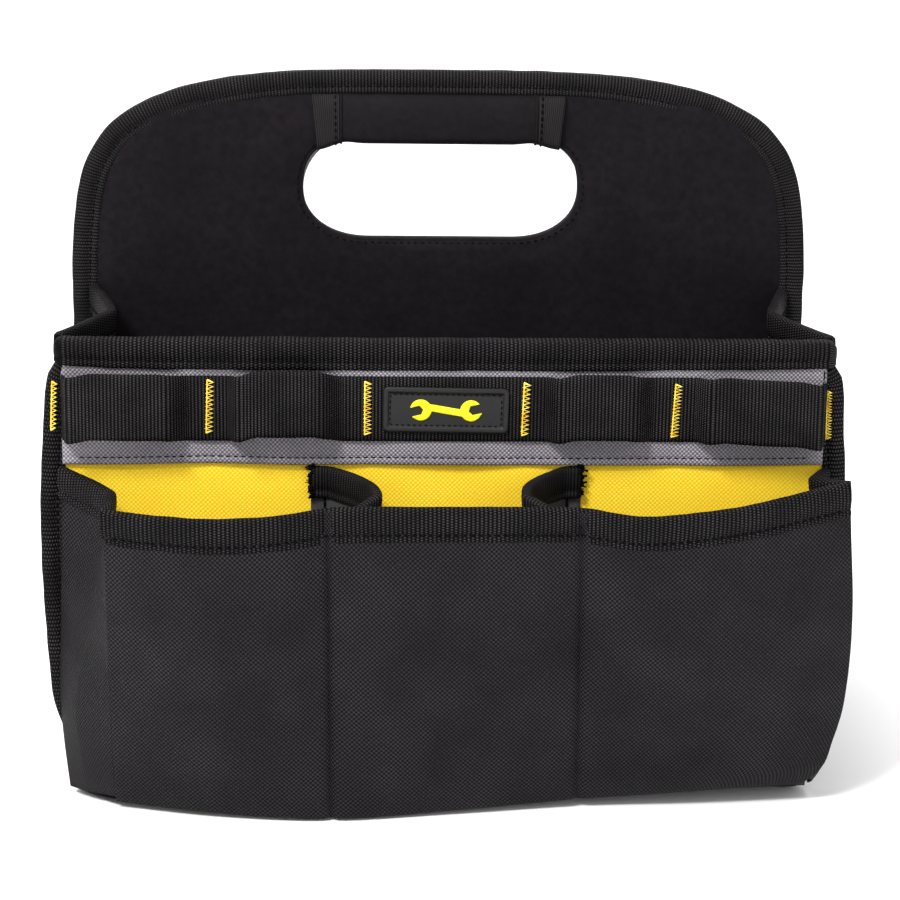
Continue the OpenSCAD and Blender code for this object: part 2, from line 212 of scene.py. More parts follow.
def grid(name, points, uv, material, ring=False):
    """Rows and columns of points as a sheet, or with ring as a capped tube. uv has one more
    column than a ring has points."""
    n, m = points.shape[:2]
    columns = m if ring else m - 1
    i, j = np.meshgrid(np.arange(n - 1), np.arange(columns), indexing="ij")
    i, j = i.ravel(), j.ravel()
    k = (j + 1) % m
    faces = np.stack([i * m + j, (i + 1) * m + j, (i + 1) * m + k, i * m + k], axis=1).tolist()
    corners = np.stack([uv[i, j], uv[i + 1, j], uv[i + 1, j + 1], uv[i, j + 1]], axis=1).reshape(-1, 2)
    if ring:
        for row, order in ((0, 1), (n - 1, -1)):
            faces.append([row * m + c for c in range(m)][::order])
            corners = np.vstack([corners, uv[row, :m][::order]])
    return piece(name, points.reshape(-1, 3), faces, corners, material)


def thick(obj, t, offset=-1.0):
    """Gives a sheet its thickness, to the inner side."""
    solid = obj.modifiers.new("thickness", "SOLIDIFY")
    solid.thickness = t * MM
    solid.offset = offset


def welded(obj):
    """Closes a sheet that has been wrapped round on itself."""
    weld = obj.modifiers.new("weld", "WELD")
    weld.merge_threshold = 0.01 * MM
    return obj


def joined(name, parts, material):
    """Several (points, faces) as one mesh. Their texture coordinates are x and z."""
    points, faces, corners, first = [], [], [], 0
    for p, f in parts:
        points.append(p)
        for face in f:
            faces.append([first + k for k in face])
            corners.extend(p[k][[0, 2]] for k in face)
        first += len(p)
    return piece(name, np.vstack(points), faces, corners, material)


def tube_part(path, radius, across, sides=6):
    """A closed round thread along path. across is a vector that it never runs along."""
    t = along(path)
    a = unit(np.cross(t, across))
    b = np.cross(t, a)
    angle = np.arange(sides) * 2 * np.pi / sides
    r = np.broadcast_to(np.asarray(radius, float), (len(path),))[:, None, None]
    rings = path[:, None] + r * (np.cos(angle)[None, :, None] * a[:, None]
                                 + np.sin(angle)[None, :, None] * b[:, None])
    n = len(path)
    faces = [[i * sides + j, i * sides + (j + 1) % sides,
              (i + 1) * sides + (j + 1) % sides, (i + 1) * sides + j]
             for i in range(n - 1) for j in range(sides)]
    faces += [list(range(sides))[::-1], [(n - 1) * sides + j for j in range(sides)]]
    return rings.reshape(-1, 3), faces


def stitch_parts(path, normals, pitch=3.0, length=2.1, radius=0.3, sink=0.35):
    """Stitches as short threads that dive into the cloth at both ends."""
    s = lengths(path)
    parts = []
    for centre in np.arange(pitch / 2, s[-1] - pitch / 3, pitch):
        at = centre + np.linspace(-0.5, 0.5, 5) * length
        p, up = sampled(at, s, path), sampled(centre, s, normals)
        dive = np.array([-sink, 0.05, 0.12, 0.05, -sink])
        p = p + up * dive[:, None]
        parts.append(tube_part(p, radius * np.array([0.7, 1, 1, 1, 0.7]), up + 1e-3, sides=5))
    return parts


def over_edge(name, path, down, side, leg, half, material, t=TAPE_T, puff=0.5, pinch=3.2,
              seed=0.0, fade=None, reach=None, calm=0.0, closed=False):
    """Tape folded over a sheet's edge. down points into the sheet and side out of its face.
    leg is how far the tape reaches down, half the sheet's half thickness there, fade and reach
    scale the tape's thickness and reach along the path, its ribs stop calm short of its ends,
    and closed folds its ends shut."""
    places = [(leg, 0.25), (leg - 0.15, 0.75), (leg - 0.9, 1.0), (leg - pinch + 0.8, 0.95),
              (leg - pinch, 0.45), (leg - pinch - 0.9, 0.98), ((leg - pinch) * 0.55, 1 + puff),
              ((leg - pinch) * 0.2, 1 + 0.8 * puff)]
    outer = [(d, half + t * k) for d, k in places]
    top = [(-t * 0.9 * math.sin(a), (half + t * (1 + 0.4 * puff)) * math.cos(a))
           for a in np.linspace(0.25, math.pi - 0.25, 7)]
    inner = [(d, -(half + t * k)) for d, k in reversed(places)]
    back = [(leg, -half), (leg * 0.5, -half), (0.0, -half * 0.9),
            (0.0, half * 0.9), (leg * 0.5, half), (leg, half)]
    profile = np.array(outer + top + inner + back)
    v = lengths(np.column_stack([profile, np.zeros(len(profile))]))
    v = np.append(v, v[-1] + 1)
    u = lengths(path)
    n, m = len(path), len(profile)
    d = np.broadcast_to(profile[:, 0], (n, m)).copy()
    s = np.broadcast_to(profile[:, 1], (n, m)).copy()
    probe = np.stack([np.broadcast_to(u[:, None], (n, m)), d, np.sign(s) * 30], axis=2)
    s += 0.16 * t * np.sign(s) * ripple(probe, 7.0, seed)
    d += 0.25 * ripple(probe * [1, 0, 1], 9.0, seed + 5)
    if fade is not None:
        s *= fade[:, None]
    if reach is not None:
        d = np.where(d > 0, d * reach[:, None], d)
    if closed:
        for row in (0, -1):
            d[row, -len(back):] = d[row].max() - 0.1
    u = np.clip(u, calm, u[-1] - calm)
    points = path[:, None] + d[:, :, None] * down[:, None] + s[:, :, None] * side[:, None]
    uv = cloth_uv(u, v)
    return grid(name, points, uv, material, ring=True)


def wall_tape(name, side, path, down, out, *sizes, **shape):
    """over_edge for a path in (x, out, z), set as that wall's."""
    return over_edge(name, *(set_out(v, side) for v in (path, down, out)), *sizes, **shape)


def line_on(path, down, side, d, s):
    """A line that runs along a tape, d from its edge and s out of its middle."""
    return path + d * down + s * side


# ---------- materials ----------

class Graph:
    """A material being wired up, with its shader as .shader."""

    def __init__(self, name, roughness, specular=0.5):
        self.material = bpy.data.materials.new(name)
        self.material.use_nodes = True
        self.tree = self.material.node_tree
        self.shader = self.tree.nodes["Principled BSDF"]
        self.shader.inputs["Roughness"].default_value = roughness
        self.shader.inputs["Specular IOR Level"].default_value = specular

    def put(self, socket, value):
        if isinstance(value, bpy.types.NodeSocket):
            self.tree.links.new(value, socket)
        elif value is not None:
            socket.default_value = value

    def math(self, operation, a, b=None, c=None):
        node = self.tree.nodes.new("ShaderNodeMath")
        node.operation = operation
        for socket, value in zip(node.inputs, (a, b, c)):
            self.put(socket, value)
        return node.outputs[0]

    def cloth(self):
        """The u and v of the cloth, in millimetres."""
        uv = self.tree.nodes.new("ShaderNodeUVMap")
        uv.uv_map = "cloth"
        parts = self.tree.nodes.new("ShaderNodeSeparateXYZ")
        self.put(parts.inputs[0], uv.outputs[0])
        return parts.outputs[0], parts.outputs[1]

    def where(self):
        return self.tree.nodes.new("ShaderNodeTexCoord").outputs["Object"]

    def noise(self, scale, detail=2.0, vector=None):
        node = self.tree.nodes.new("ShaderNodeTexNoise")
        self.put(node.inputs["Vector"], vector or self.where())
        node.inputs["Scale"].default_value = scale
        node.inputs["Detail"].default_value = detail
        return node.outputs["Fac"]

    def wave(self, along_axis, pitch, shift=0.0):
        """A sine along a coordinate in millimetres, from -1 to 1."""
        turns = self.math("MULTIPLY_ADD", along_axis, 2 * math.pi / pitch, shift)
        return self.math("SINE", turns)

    def blend(self, share, dark, light):
        node = self.tree.nodes.new("ShaderNodeMix")
        node.data_type = "RGBA"
        self.put(node.inputs[0], share)
        self.put(node.inputs[6], (*dark, 1))
        self.put(node.inputs[7], (*light, 1))
        return node.outputs[2]

    def ramp(self, value, low, high, to_low=0.0, to_high=1.0):
        node = self.tree.nodes.new("ShaderNodeMapRange")
        for socket, number in zip(node.inputs, (value, low, high, to_low, to_high)):
            self.put(socket, number)
        return node.outputs[0]

    def colour(self, value):
        self.put(self.shader.inputs["Base Color"], value)

    def bump(self, height, depth, strength=0.8):
        """height runs from 0 to 1, over depth millimetres."""
        node = self.tree.nodes.new("ShaderNodeBump")
        node.inputs["Strength"].default_value = strength
        node.inputs["Distance"].default_value = depth * MM
        self.put(node.inputs["Height"], height)
        self.put(self.shader.inputs["Normal"], node.outputs[0])


def ribbed(name, dark, light, rib=1.12, pick=0.95, depth=0.35, roughness=0.62, bead=0.5):
    """Ribbed tape or webbing: ribs across its length, each broken into short picks."""
    g = Graph(name, roughness, specular=0.06)
    u, v = g.cloth()
    ribs = g.math("MULTIPLY_ADD", g.wave(u, rib), 0.5, 0.5)
    side = g.math("SIGN", g.wave(u, 2 * rib, 0.0))
    picks = g.math("MULTIPLY_ADD", g.wave(g.math("MULTIPLY_ADD", side, pick / 4, v), pick), 0.5, 0.5)
    height = g.math("MULTIPLY", g.math("POWER", ribs, 0.7), g.math("MULTIPLY_ADD", picks, bead, 1 - bead))
    worn = g.noise(70, 3)
    # Colour follows the ribs' height: the light colour on the rib tops is a painted highlight and the dark
    # colour between them painted shade; the worn noise dims the highlight at random.
    share = g.math("MULTIPLY", g.ramp(height, 0.3, 0.95), g.ramp(worn, 0.3, 0.7, 0.45, 1.0))
    g.colour(g.blend(share, dark, light))
    g.bump(g.math("MULTIPLY_ADD", g.noise(900, 2), 0.12, height), depth)
    return g.material


def woven(name, dark, light, thread=0.9, depth=0.28, roughness=0.6, fade=0.5, specular=0.1):
    """Plain weave: raised cells like a chessboard's, with light and dark patches."""
    g = Graph(name, roughness, specular=specular)
    u, v = g.cloth()
    a, b = g.wave(u, 2 * thread), g.wave(v, 2 * thread)
    cells = g.math("MULTIPLY", a, b)
    height = g.ramp(cells, -0.45, 0.95)
    patch = g.noise(38, 3)
    # Colour follows the weave's height: the light colour on the raised cells is a painted highlight and the
    # dark colour in the gaps painted shade; the patch noise dims cells at random.
    share = g.math("MULTIPLY", height, g.ramp(patch, 0.3, 0.7, fade, 1.0))
    g.colour(g.blend(share, dark, light))
    g.bump(g.math("MULTIPLY_ADD", g.noise(1100, 2), 0.3, height), depth)
    return g.material


def twill(name, dark, light, pitch=1.0, depth=0.12, roughness=0.75):
    """Fine slanted lines in a soft, matt cloth."""
    g = Graph(name, roughness, specular=0.06)
    u, v = g.cloth()
    lines = g.wave(g.math("ADD", u, v), pitch)
    fuzz = g.noise(420, 3)
    height = g.math("MULTIPLY_ADD", lines, 0.3, fuzz)
    # Colour follows the lines' height: the light colour on their ridges is a painted highlight and the dark
    # colour in the hollows painted shade.
    share = g.math("MULTIPLY", g.ramp(height, 0.1, 0.9), g.ramp(g.noise(24, 4), 0.3, 0.7, 0.5, 1.0))
    g.colour(g.blend(share, dark, light))
    g.bump(height, depth)
    return g.material


def moulded(name, dark, light, roughness=0.45):
    """Moulded rubber with a faint grain."""
    g = Graph(name, roughness, specular=0.3)
    grain = g.noise(1500, 3)
    g.colour(g.blend(g.noise(120, 3), dark, light))
    g.bump(grain, 0.05)
    g.put(g.shader.inputs["Roughness"], g.ramp(grain, 0.3, 0.7, roughness - 0.08, roughness + 0.1))
    return g.material


def thread(name, dark, light):
    """Twisted sewing thread."""
    g = Graph(name, 0.75, specular=0.04)
    where = g.where()
    twist = g.noise(2500, 2, where)
    g.colour(g.blend(g.ramp(g.noise(260, 3, where), 0.3, 0.7), dark, light))
    g.bump(twist, 0.15)
    return g.material


def boardstock(name, dark, light):
    """Pressed plastic board, faintly mottled."""
    g = Graph(name, 0.6)
    g.colour(g.blend(g.noise(150, 4), dark, light))
    g.bump(g.noise(600, 2), 0.05)
    return g.material


# In the ribbed, woven and twill cloths below, the light colour is a painted highlight on raised threads and
# the dark colour painted shade between them.
TAPE = ribbed("ribbed_tape", (0.0005, 0.0004, 0.0005), (0.058, 0.052, 0.056), rib=1.55, pick=1.05, depth=0.45,
              bead=0.8)
# Darker ribbed tape: the board's edge tape, and for the pocket dividers the binding tape darkened as painted
# shade.
EDGE_AND_SHADED_TAPE = ribbed("edge_tape", (0.0020, 0.0017, 0.0019), (0.036, 0.033, 0.034), rib=1.3, pick=0.9, depth=0.3)
WEBBING = ribbed("webbing", (0.0004, 0.0003, 0.0004), (0.052, 0.047, 0.050), rib=1.34, pick=0.92, depth=0.35,
                 bead=0.6)
ELASTIC = ribbed("end_tape", (0.007, 0.0066, 0.0066), (0.026, 0.024, 0.024), rib=0.85, pick=1.4, depth=0.15,
                 bead=0.15)
POCKET = woven("pocket_cloth", (0.0005, 0.0004, 0.0006), (0.036, 0.0315, 0.036), thread=0.9, depth=0.45)
# The yellow cloth's orange dark colour is painted shade, in the weave's gaps and in the random patches that
# stand for the shade of its folds.
PANEL = woven("yellow_cloth", (0.98, 0.56, 0.016), (1.0, 0.93, 0.070), thread=0.88, depth=0.1,
              roughness=0.6, fade=0.62, specular=0.2)
BAND = woven("grey_cloth", (0.095, 0.087, 0.100), (0.50, 0.46, 0.51), thread=0.83, depth=0.3, roughness=0.5,
             specular=0.3)
COVER = twill("board_cloth", (0.0030, 0.0022, 0.0029), (0.0135, 0.0110, 0.0132))
SLEEVE = twill("sleeve_cloth", (0.0045, 0.0038, 0.0044), (0.0125, 0.0108, 0.0122), pitch=0.8, depth=0.06)
LINING = woven("lining_cloth", (0.006, 0.0055, 0.006), (0.022, 0.020, 0.022), thread=0.6, depth=0.1)
HEM = twill("hem_cloth", (0.0036, 0.0028, 0.0035), (0.0155, 0.0130, 0.0150), pitch=0.9, depth=0.08)
COATED = woven("coated_cloth", (0.035, 0.034, 0.035), (0.085, 0.082, 0.085), thread=0.5, depth=0.08)
RUBBER = moulded("label_rubber", (0.0045, 0.0042, 0.0042), (0.011, 0.010, 0.010))
PRINT = moulded("emblem_rubber", (0.80, 0.72, 0.004), (0.92, 0.86, 0.012), roughness=0.4)
YELLOW_THREAD = thread("yellow_thread", (0.85, 0.50, 0.03), (1.0, 0.83, 0.14))
BLACK_THREAD = thread("black_thread", (0.0008, 0.0008, 0.0008), (0.005, 0.0047, 0.005))
BOARD = boardstock("pressed_board", (0.09, 0.09, 0.095), (0.14, 0.14, 0.145))
FOAM = boardstock("grip_foam", (0.045, 0.044, 0.046), (0.075, 0.074, 0.076))


# ---------- placing ----------

def set_out(points, side):
    """(x, out, z) as the front wall, or turned half a turn as the rear wall."""
    points = np.asarray(points, float)
    turn = np.array([1, -1, 1]) if side == "front" else np.array([-1, 1, 1])
    return points * turn


def seed_of(side):
    """What sets one wall's unevenness apart from the other's."""
    return 0.0 if side == "front" else 37.3


def sign_of(where):
    """-1 for a part on the left and 1 for one on the right."""
    return -1.0 if where.endswith("left") else 1.0


def on_wall(obj, side, slot, *nodes):
    """The piece rides on its wall, and stands for those of its CAD nodes."""
    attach(obj, f"{side}_wall")
    if nodes:
        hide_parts(*[f"{side}_{node}" for node in nodes])
    return obj


def on_centre(obj, slot, *nodes):
    """The piece rides on the centre, and stands for those CAD nodes."""
    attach(obj, "centre")
    if nodes:
        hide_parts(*nodes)
    return obj


def sewn(name, line, normals, pitch, length, radius, sink=0.35):
    """A row of black stitches as one mesh."""
    return joined(name, stitch_parts(line, normals, pitch, length, radius, sink), BLACK_THREAD)


# ---------- wall cloths ----------

FOOT_R = 5.0
LEFT_HALF = [(0, 144.6), (14, 146.2), (25, 147.8), (38, 151.0), (55, 152.6), (71, 153.4),
             (95, 154.1), (119, 153.9), (143, 152.5), (154, 151.6), (165, 150.4), (169, 149.6),
             (173, 147.4), (182, 146.6)]
RIGHT_HALF = LEFT_HALF[:6] + [(95, 154.2), (127, 153.6), (149, 151.8), (165, 150.6),
                              (169, 149.8), (173, 147.6), (182, 146.8)]


def wall_half(z, sign):
    """How far a wall reaches to its left (-1) or right (1) at height z."""
    z = np.asarray(z, float)
    half = through(LEFT_HALF if sign < 0 else RIGHT_HALF, z.ravel()).reshape(z.shape)
    half = half + 0.8 * smooth((172 - z) / 6) * smooth((z - 20) / 15)
    low = np.clip(WALL_FOOT + FOOT_R - z, 0, FOOT_R)
    return half - FOOT_R + np.sqrt(np.maximum(FOOT_R**2 - low**2, 0))


def wall_width(s, z):
    """x at height z, for s from -1 at the wall's left edge to 1 at its right."""
    return np.where(s < 0, s * wall_half(z, -1), s * wall_half(z, 1))


def face_out(x, z, side):
    """How far out the wall's coloured face lies: flat, with the cloth's soft unevenness."""
    probe = np.stack(np.broadcast_arrays(x, np.float64(0), z), axis=-1)
    return WALL_OUT + 0.45 * (1 + ripple(probe * [1, 1, 1.6], 55.0, seed_of(side)))


def wall_sheet(name, side, out_low, out_high, material, inset=1.3, x_step=4.0, z_step=3.0):
    """A closed slab of wall cloth whose outer face is uneven."""
    z = np.concatenate([WALL_FOOT + inset + FOOT_R * (1 - np.cos(np.linspace(0, math.pi / 2, 7)[:-1])),
                        np.arange(WALL_FOOT + inset + FOOT_R, RIM_Z - 1.5, z_step), [RIM_Z - 1.3]])
    s = np.linspace(-1, 1, int(2 * WALL_HALF_W / x_step))
    zz = np.broadcast_to(z[:, None], (len(z), len(s)))
    x = wall_width(np.broadcast_to(s, zz.shape), zz)
    x = x - inset * x / WALL_HALF_W
    near = np.stack([x, np.full_like(x, out_low), zz], axis=2)
    far = np.stack([x, out_high(x, zz) if callable(out_high) else np.full_like(x, out_high), zz], axis=2)
    points = np.concatenate([far, near[:, ::-1]], axis=1)
    uv = wrapped(points[:, :, [0, 2]])
    return grid(name, set_out(points, side), uv, material, ring=True)


def wall_panel(side):
    def surface(x, z):
        probe = np.stack([x + 0.5 * z, 0 * x, 0.35 * z], axis=-1)
        return face_out(x, z, side) + 0.5 * ripple(probe, 21.0, seed_of(side) + 33) * hump((z - 60) / 90)

    obj = wall_sheet(f"{side}_panel_cloth", side, LINING_OUT, surface, PANEL)
    on_wall(obj, side, "yellow_cloth", "panel", "stiffener")


def wall_lining(side):
    obj = wall_sheet(f"{side}_lining_cloth", side, WALL_IN, LINING_OUT - 0.02, LINING)
    on_wall(obj, side, "lining_cloth", "lining")


def band_out_at(x, z, side):
    """Outer face of the grey band: pressed in by the tacks, loose between them near its foot."""
    loose = 0.0
    for a, b in zip(TACKS[:-1], TACKS[1:]):
        loose = loose + hump((x - a) / (b - a)) * np.where((x > a) & (x < b), 1, 0)
    low = smooth((WEB_LOW + 6 - z) / 10)
    return face_out(x, z, side) + BAND_T + 0.5 + 1.0 * loose * low


def wall_band(side):
    """Grey cloth with its foot folded under and topstitched."""
    x = np.linspace(-145.4, 144.4, 150)
    rise = np.array([0.3, 0.0, 0.15, 0.7, 1.5, 2.3, 2.9, 3.5, 4.2, 5.5, 8, 11, 15, 20, 26, 33, 40,
                     RIM_Z - 2 - BAND_FOOT])
    proud = np.array([-1.3, -0.7, -0.1, 0.15, 0.2, 0.1, -0.25, 0.05, 0.0] + [0.0] * 9)
    foot = BAND_FOOT + 0.5 * ripple(np.stack([x, 0 * x, 0 * x], axis=1), 60.0, seed_of(side) + 3)
    z = foot[None, :] + rise[:, None]
    xx = np.broadcast_to(x, z.shape)
    out = band_out_at(xx, z, side) + proud[:, None]
    points = np.stack([xx, out, z], axis=2)
    uv = points[:, :, [0, 2]]
    obj = grid(f"{side}_band_cloth", set_out(points, side), uv, BAND)
    thick(obj, 0.55, 1.0)
    on_wall(obj, side, "grey_cloth", "band")
    line = np.stack([x, band_out_at(x, foot + 2.9, side) - 0.1, foot + 2.9], axis=1)
    wall_stitches(side, "band", line[3:-3], pitch=2.9, radius=0.24)


def wall_stitches(side, name, line, pitch=3.0, length=2.0, radius=0.28):
    """A row of stitches on the wall's outer face."""
    line = even(set_out(line, side), 0.6)
    normals = np.broadcast_to(set_out([0, 1, 0], side), line.shape)
    obj = sewn(f"{side}_{name}_stitches", line, normals, pitch, length, radius)
    on_wall(obj, side, "thread")


# ---------- wall bindings ----------

def rim_binding(side):
    """Ribbed tape over the rim, plump, with its ends turned in and rounded at the corners."""
    x = np.linspace(-RIM_HALF_L - 0.2, RIM_HALF_L + 0.2, 200)
    wobble = ripple(np.stack([x, 0 * x, 0 * x], axis=1), 48.0, seed_of(side) + 9)
    half = (WALL_OUT + BAND_T + 0.9 - WALL_IN) / 2
    middle = (WALL_OUT + BAND_T + 0.9 + WALL_IN) / 2
    to_end = np.minimum(x - x[0], x[-1] - x)
    round_off = 1 - np.sqrt(np.clip(1 - (1 - np.clip(to_end / 3.0, 0, 1)) ** 2, 0, 1))
    path = set_out(np.stack([x, middle + 0 * x, RIM_Z - 1.0 + 0.35 * wobble - 2.2 * round_off], axis=1), side)
    down = np.broadcast_to([0, 0, -1.0], path.shape)
    out = np.broadcast_to(set_out([0, 1.0, 0], side), path.shape)
    fade = 1 + 0.12 * hump(to_end / 7) - 0.42 * round_off
    lift = np.interp(x, [-148, -125, -105, 60, 148], [1.7, 0.5, 0, 0, 1.4])
    leg = RIM_LEG - 1.2
    reach = (leg - lift - 3.4 * round_off) / leg
    obj = over_edge(f"{side}_rim_tape", path, down, out, leg, half, TAPE,
                    puff=0.7, pinch=3.3, seed=seed_of(side), fade=fade, reach=reach, calm=4.2, closed=True)
    on_wall(obj, side, "binding_tape", "rim_binding")
    for face, label in ((1, "rim"), (-1, "rim_inner")):
        line = path + (leg * reach - 3.3)[:, None] * down + face * (half + TAPE_T * 0.6) * out
        line = even(line[6:-6], 0.6)
        up = np.broadcast_to(out[0] * face, line.shape)
        on_wall(sewn(f"{side}_{label}_stitches", line, up, 3.1, 2.2, 0.26), side, "thread")


def wall_edge():
    """The wall's edge from the rim's left end, round the foot, to its right end, as (x, z)."""
    z = np.concatenate([np.linspace(RIM_Z - RIM_LEG + 3, WALL_FOOT + FOOT_R, 70),
                        WALL_FOOT + FOOT_R * (1 - np.sin(np.linspace(0, math.pi / 2, 14)[1:]))])
    left, right = np.column_stack([-wall_half(z, -1), z]), np.column_stack([wall_half(z, 1), z])
    foot = np.linspace(left[-1, 0], right[-1, 0], 80)[1:-1]
    return np.vstack([left, np.column_stack([foot, np.full(len(foot), left[-1, 1])]), right[::-1]])


def seam_binding(side):
    """Ribbed tape round the wall's sides and foot."""
    edge = wall_edge()
    half = (WALL_OUT + 0.5 - WALL_IN) / 2
    middle = (WALL_OUT + 0.5 + WALL_IN) / 2
    path = np.column_stack([edge[:, 0], np.full(len(edge), middle), edge[:, 1]])
    inwards = towards(path, [0, 0, RIM_Z / 2])
    path = path + inwards * 1.2
    # Shorter where the wall narrows under the rim
    reach = 1.0 - 0.46 * smooth((path[:, 2] - WEB_HIGH) / 4)
    obj = wall_tape(f"{side}_seam_tape", side, path, inwards,
                    np.broadcast_to([0, 1.0, 0], path.shape), SIDE_LEG - 0.9, half, TAPE,
                    puff=0.6, pinch=2.6, seed=seed_of(side) + 20, reach=reach)
    on_wall(obj, side, "binding_tape", "seam_binding")
    line = path + inwards * (SIDE_LEG - 3.5) + np.array([0, half + TAPE_T * 0.85, 0])
    clear = line[:, 2] < WEB_HIGH - 16
    for label, sign in (("seam_left", -1), ("seam_right", 1)):
        keep = clear & (sign * line[:, 0] > 125)
        wall_stitches(side, label, line[keep][:-1], pitch=3.2, radius=0.24)


# ---------- webbing, tacks and label ----------

LOOPS = [  # from, to, how far out, how far up, width of its left and right flanks
    (-144.3, -97.5, 7.6, 1.9, 2.6, 9.0), (-82.5, -39.5, 7.6, 3.4, 5.0, 9.5),
    (37.5, 78.5, 7.0, 2.2, 6.0, 9.0), (94.5, 143.5, 7.6, 1.7, 6.0, 2.6)]


def loop_shape(x):
    """(rise, shift in z) of the webbing at x. The middle stretch lies flat under the label."""
    rise, shift = np.zeros_like(x), np.zeros_like(x)
    for low, high, height, up, steep_in, steep_out in LOOPS:
        inside = (x > low) & (x < high)
        side_in, side_out = smooth((x - low) / steep_in), smooth((high - x) / steep_out)
        belly = 0.86 + 0.14 * hump((x - low) / (high - low))
        rise += np.where(inside, side_in * side_out * belly * height, 0)
        shift += np.where(inside, smooth((x - low) / 12) * smooth((high - x) / 12) * up, 0)
    shift += -1.9 * smooth((x - 96) / 44)
    return rise, shift


def webbing_path():
    x = np.linspace(-144.9, 143.9, 900)
    rise, shift = loop_shape(x)
    out = WEB_BACK + rise
    return even(np.column_stack([x, out, (WEB_LOW + WEB_HIGH) / 2 + shift]), 0.9)


def webbing(side):
    """One strip, sewn down at the tacks and standing off as loops between them."""
    path = webbing_path()
    t = along(path * [1, 1, 0])
    normal = np.column_stack([-t[:, 1], t[:, 0], np.zeros(len(t))])
    half_h = (WEB_HIGH - WEB_LOW) / 2
    across = np.linspace(-half_h, half_h, 15)
    edge_drop = np.where(np.abs(across) > half_h - 0.3, 0.35, 0.0)
    front = np.column_stack([across, WEB_T - edge_drop])
    back = np.column_stack([across[::-1], edge_drop[::-1]])
    section = np.vstack([front, back])
    rise = (path[:, 1] - path[:, 1].min())[:, None] / LOOP_RISE
    lean = 1 - 0.10 * rise * section[None, :, 0] / half_h
    points = path[:, None] + normal[:, None] * (section[None, :, 1:2])
    points[:, :, 1] = WALL_OUT + (points[:, :, 1] - WALL_OUT) * lean
    points[:, :, 2] += section[None, :, 0] + 0.5 * rise * ripple(
        np.stack(np.broadcast_arrays(points[:, :, 0], 0.0, 0.0), axis=2), 25.0, seed_of(side))
    u = lengths(path)
    v = np.concatenate([across, across[::-1] + 60, across[:1]])
    uv = cloth_uv(u, v)
    obj = grid(f"{side}_webbing_strip", set_out(points, side), uv, WEBBING, ring=True)
    on_wall(obj, side, "webbing", "webbing")


def bar_tacks(side):
    """Zigzag tacks in yellow thread."""
    path = webbing_path()
    parts = []
    for k, x in enumerate(TACKS):
        at_end = k in (0, 5)
        level = np.interp(x, path[:, 0], path[:, 2]) + (0.6, 0.9, 0.4, 0.2, -0.2, 0.0)[k]
        lift = WALL_OUT + 0.5 + TAPE_T * 1.3 if at_end else WEB_BACK + WEB_T
        width, tall = (1.9 if at_end else 2.5), (18.6 if at_end else 20.4)
        turns = (22, 24, 26, 24, 30, 34)[k]
        t = np.linspace(-0.5, 0.5, turns + 1)
        zig = np.where(np.arange(turns + 1) % 2 == 0, -0.5, 0.5) * width
        tilt = (0.9, 0.6, 0.0, 0.6, 0.9, -0.6)[k] * t
        jitter = ripple(np.column_stack([t * 40, t * 0 + k, t * 0]), 1.1, seed_of(side))
        line = np.column_stack([x + zig + tilt + 0.25 * jitter, np.full(turns + 1, lift + 0.15),
                                level + t * tall])
        parts.append(tube_part(set_out(line, side), 0.5, np.array([0, 1.0, 0]), sides=6))
        rail = even(line * [0, 1, 1] + [x, 0.1, 0], 1.0)
        rail[:, 0] = x - 0.42 * width + np.interp(rail[:, 2], line[:, 2], tilt)
        parts.append(tube_part(set_out(rail, side), 0.28, np.array([0, 1.0, 0]), sides=6))
    obj = joined(f"{side}_tack_threads", parts, YELLOW_THREAD)
    on_wall(obj, side, "thread", "bar_tacks")


LABEL_TILT = math.radians(-0.8)
LABEL_Z = 155.4


def label_frame(points):
    """(across, up, out) on the label as (x, out, z), with the label's slight tilt."""
    a, b = points[..., 0], points[..., 1]
    c, s = math.cos(LABEL_TILT), math.sin(LABEL_TILT)
    return np.stack([a * c - b * s - 0.7, WEB_BACK + WEB_T + points[..., 2],
                     a * s + b * c + LABEL_Z], axis=-1)


def rounded_loop(half_w, half_h, r, per_corner=7):
    """A rounded rectangle as a loop of (x, y)."""
    loop = []
    for cx, cy, start in ((1, 1, 0), (-1, 1, 90), (-1, -1, 180), (1, -1, 270)):
        for a in np.radians(start + np.linspace(0, 90, per_corner)):
            loop.append((cx * (half_w - r) + r * math.cos(a), cy * (half_h - r) + r * math.sin(a)))
    return np.array(loop)


def label():
    """Moulded rubber label with a raised border round a sunken field."""
    steps = [(0.0, -0.1), (0.0, 1.0), (0.25, 1.35), (0.7, 1.45), (1.5, 1.45), (1.9, 1.3), (2.1, 1.0),
             (2.3, 0.75), (3.2, 0.75), (5.0, 0.75), (7.5, 0.75)]
    rings = []
    for inset, height in steps:
        loop = rounded_loop(LABEL_HALF_W - inset, LABEL_HALF_H - inset, max(2.0 - inset * 0.7, 0.4))
        rings.append(np.column_stack([loop, np.full(len(loop), height)]))
    points = np.array(rings)
    uv = wrapped(points[:, :, :2])
    obj = grid("front_rubber_label", set_out(label_frame(points), "front"), uv, RUBBER, ring=True)
    on_wall(obj, "front", "label_rubber", "label")
    loop = rounded_loop(LABEL_HALF_W - 2.8, LABEL_HALF_H - 2.8, 0.8, 6)
    loop = even(np.column_stack([np.vstack([loop, loop[:1]]), np.full(len(loop) + 1, 0.8)]), 0.5)
    line = set_out(label_frame(loop), "front")
    up = np.broadcast_to([0, -1.0, 0], line.shape)
    on_wall(sewn("front_label_stitches", line, up, 2.2, 1.5, 0.2, 0.3), "front", "thread")


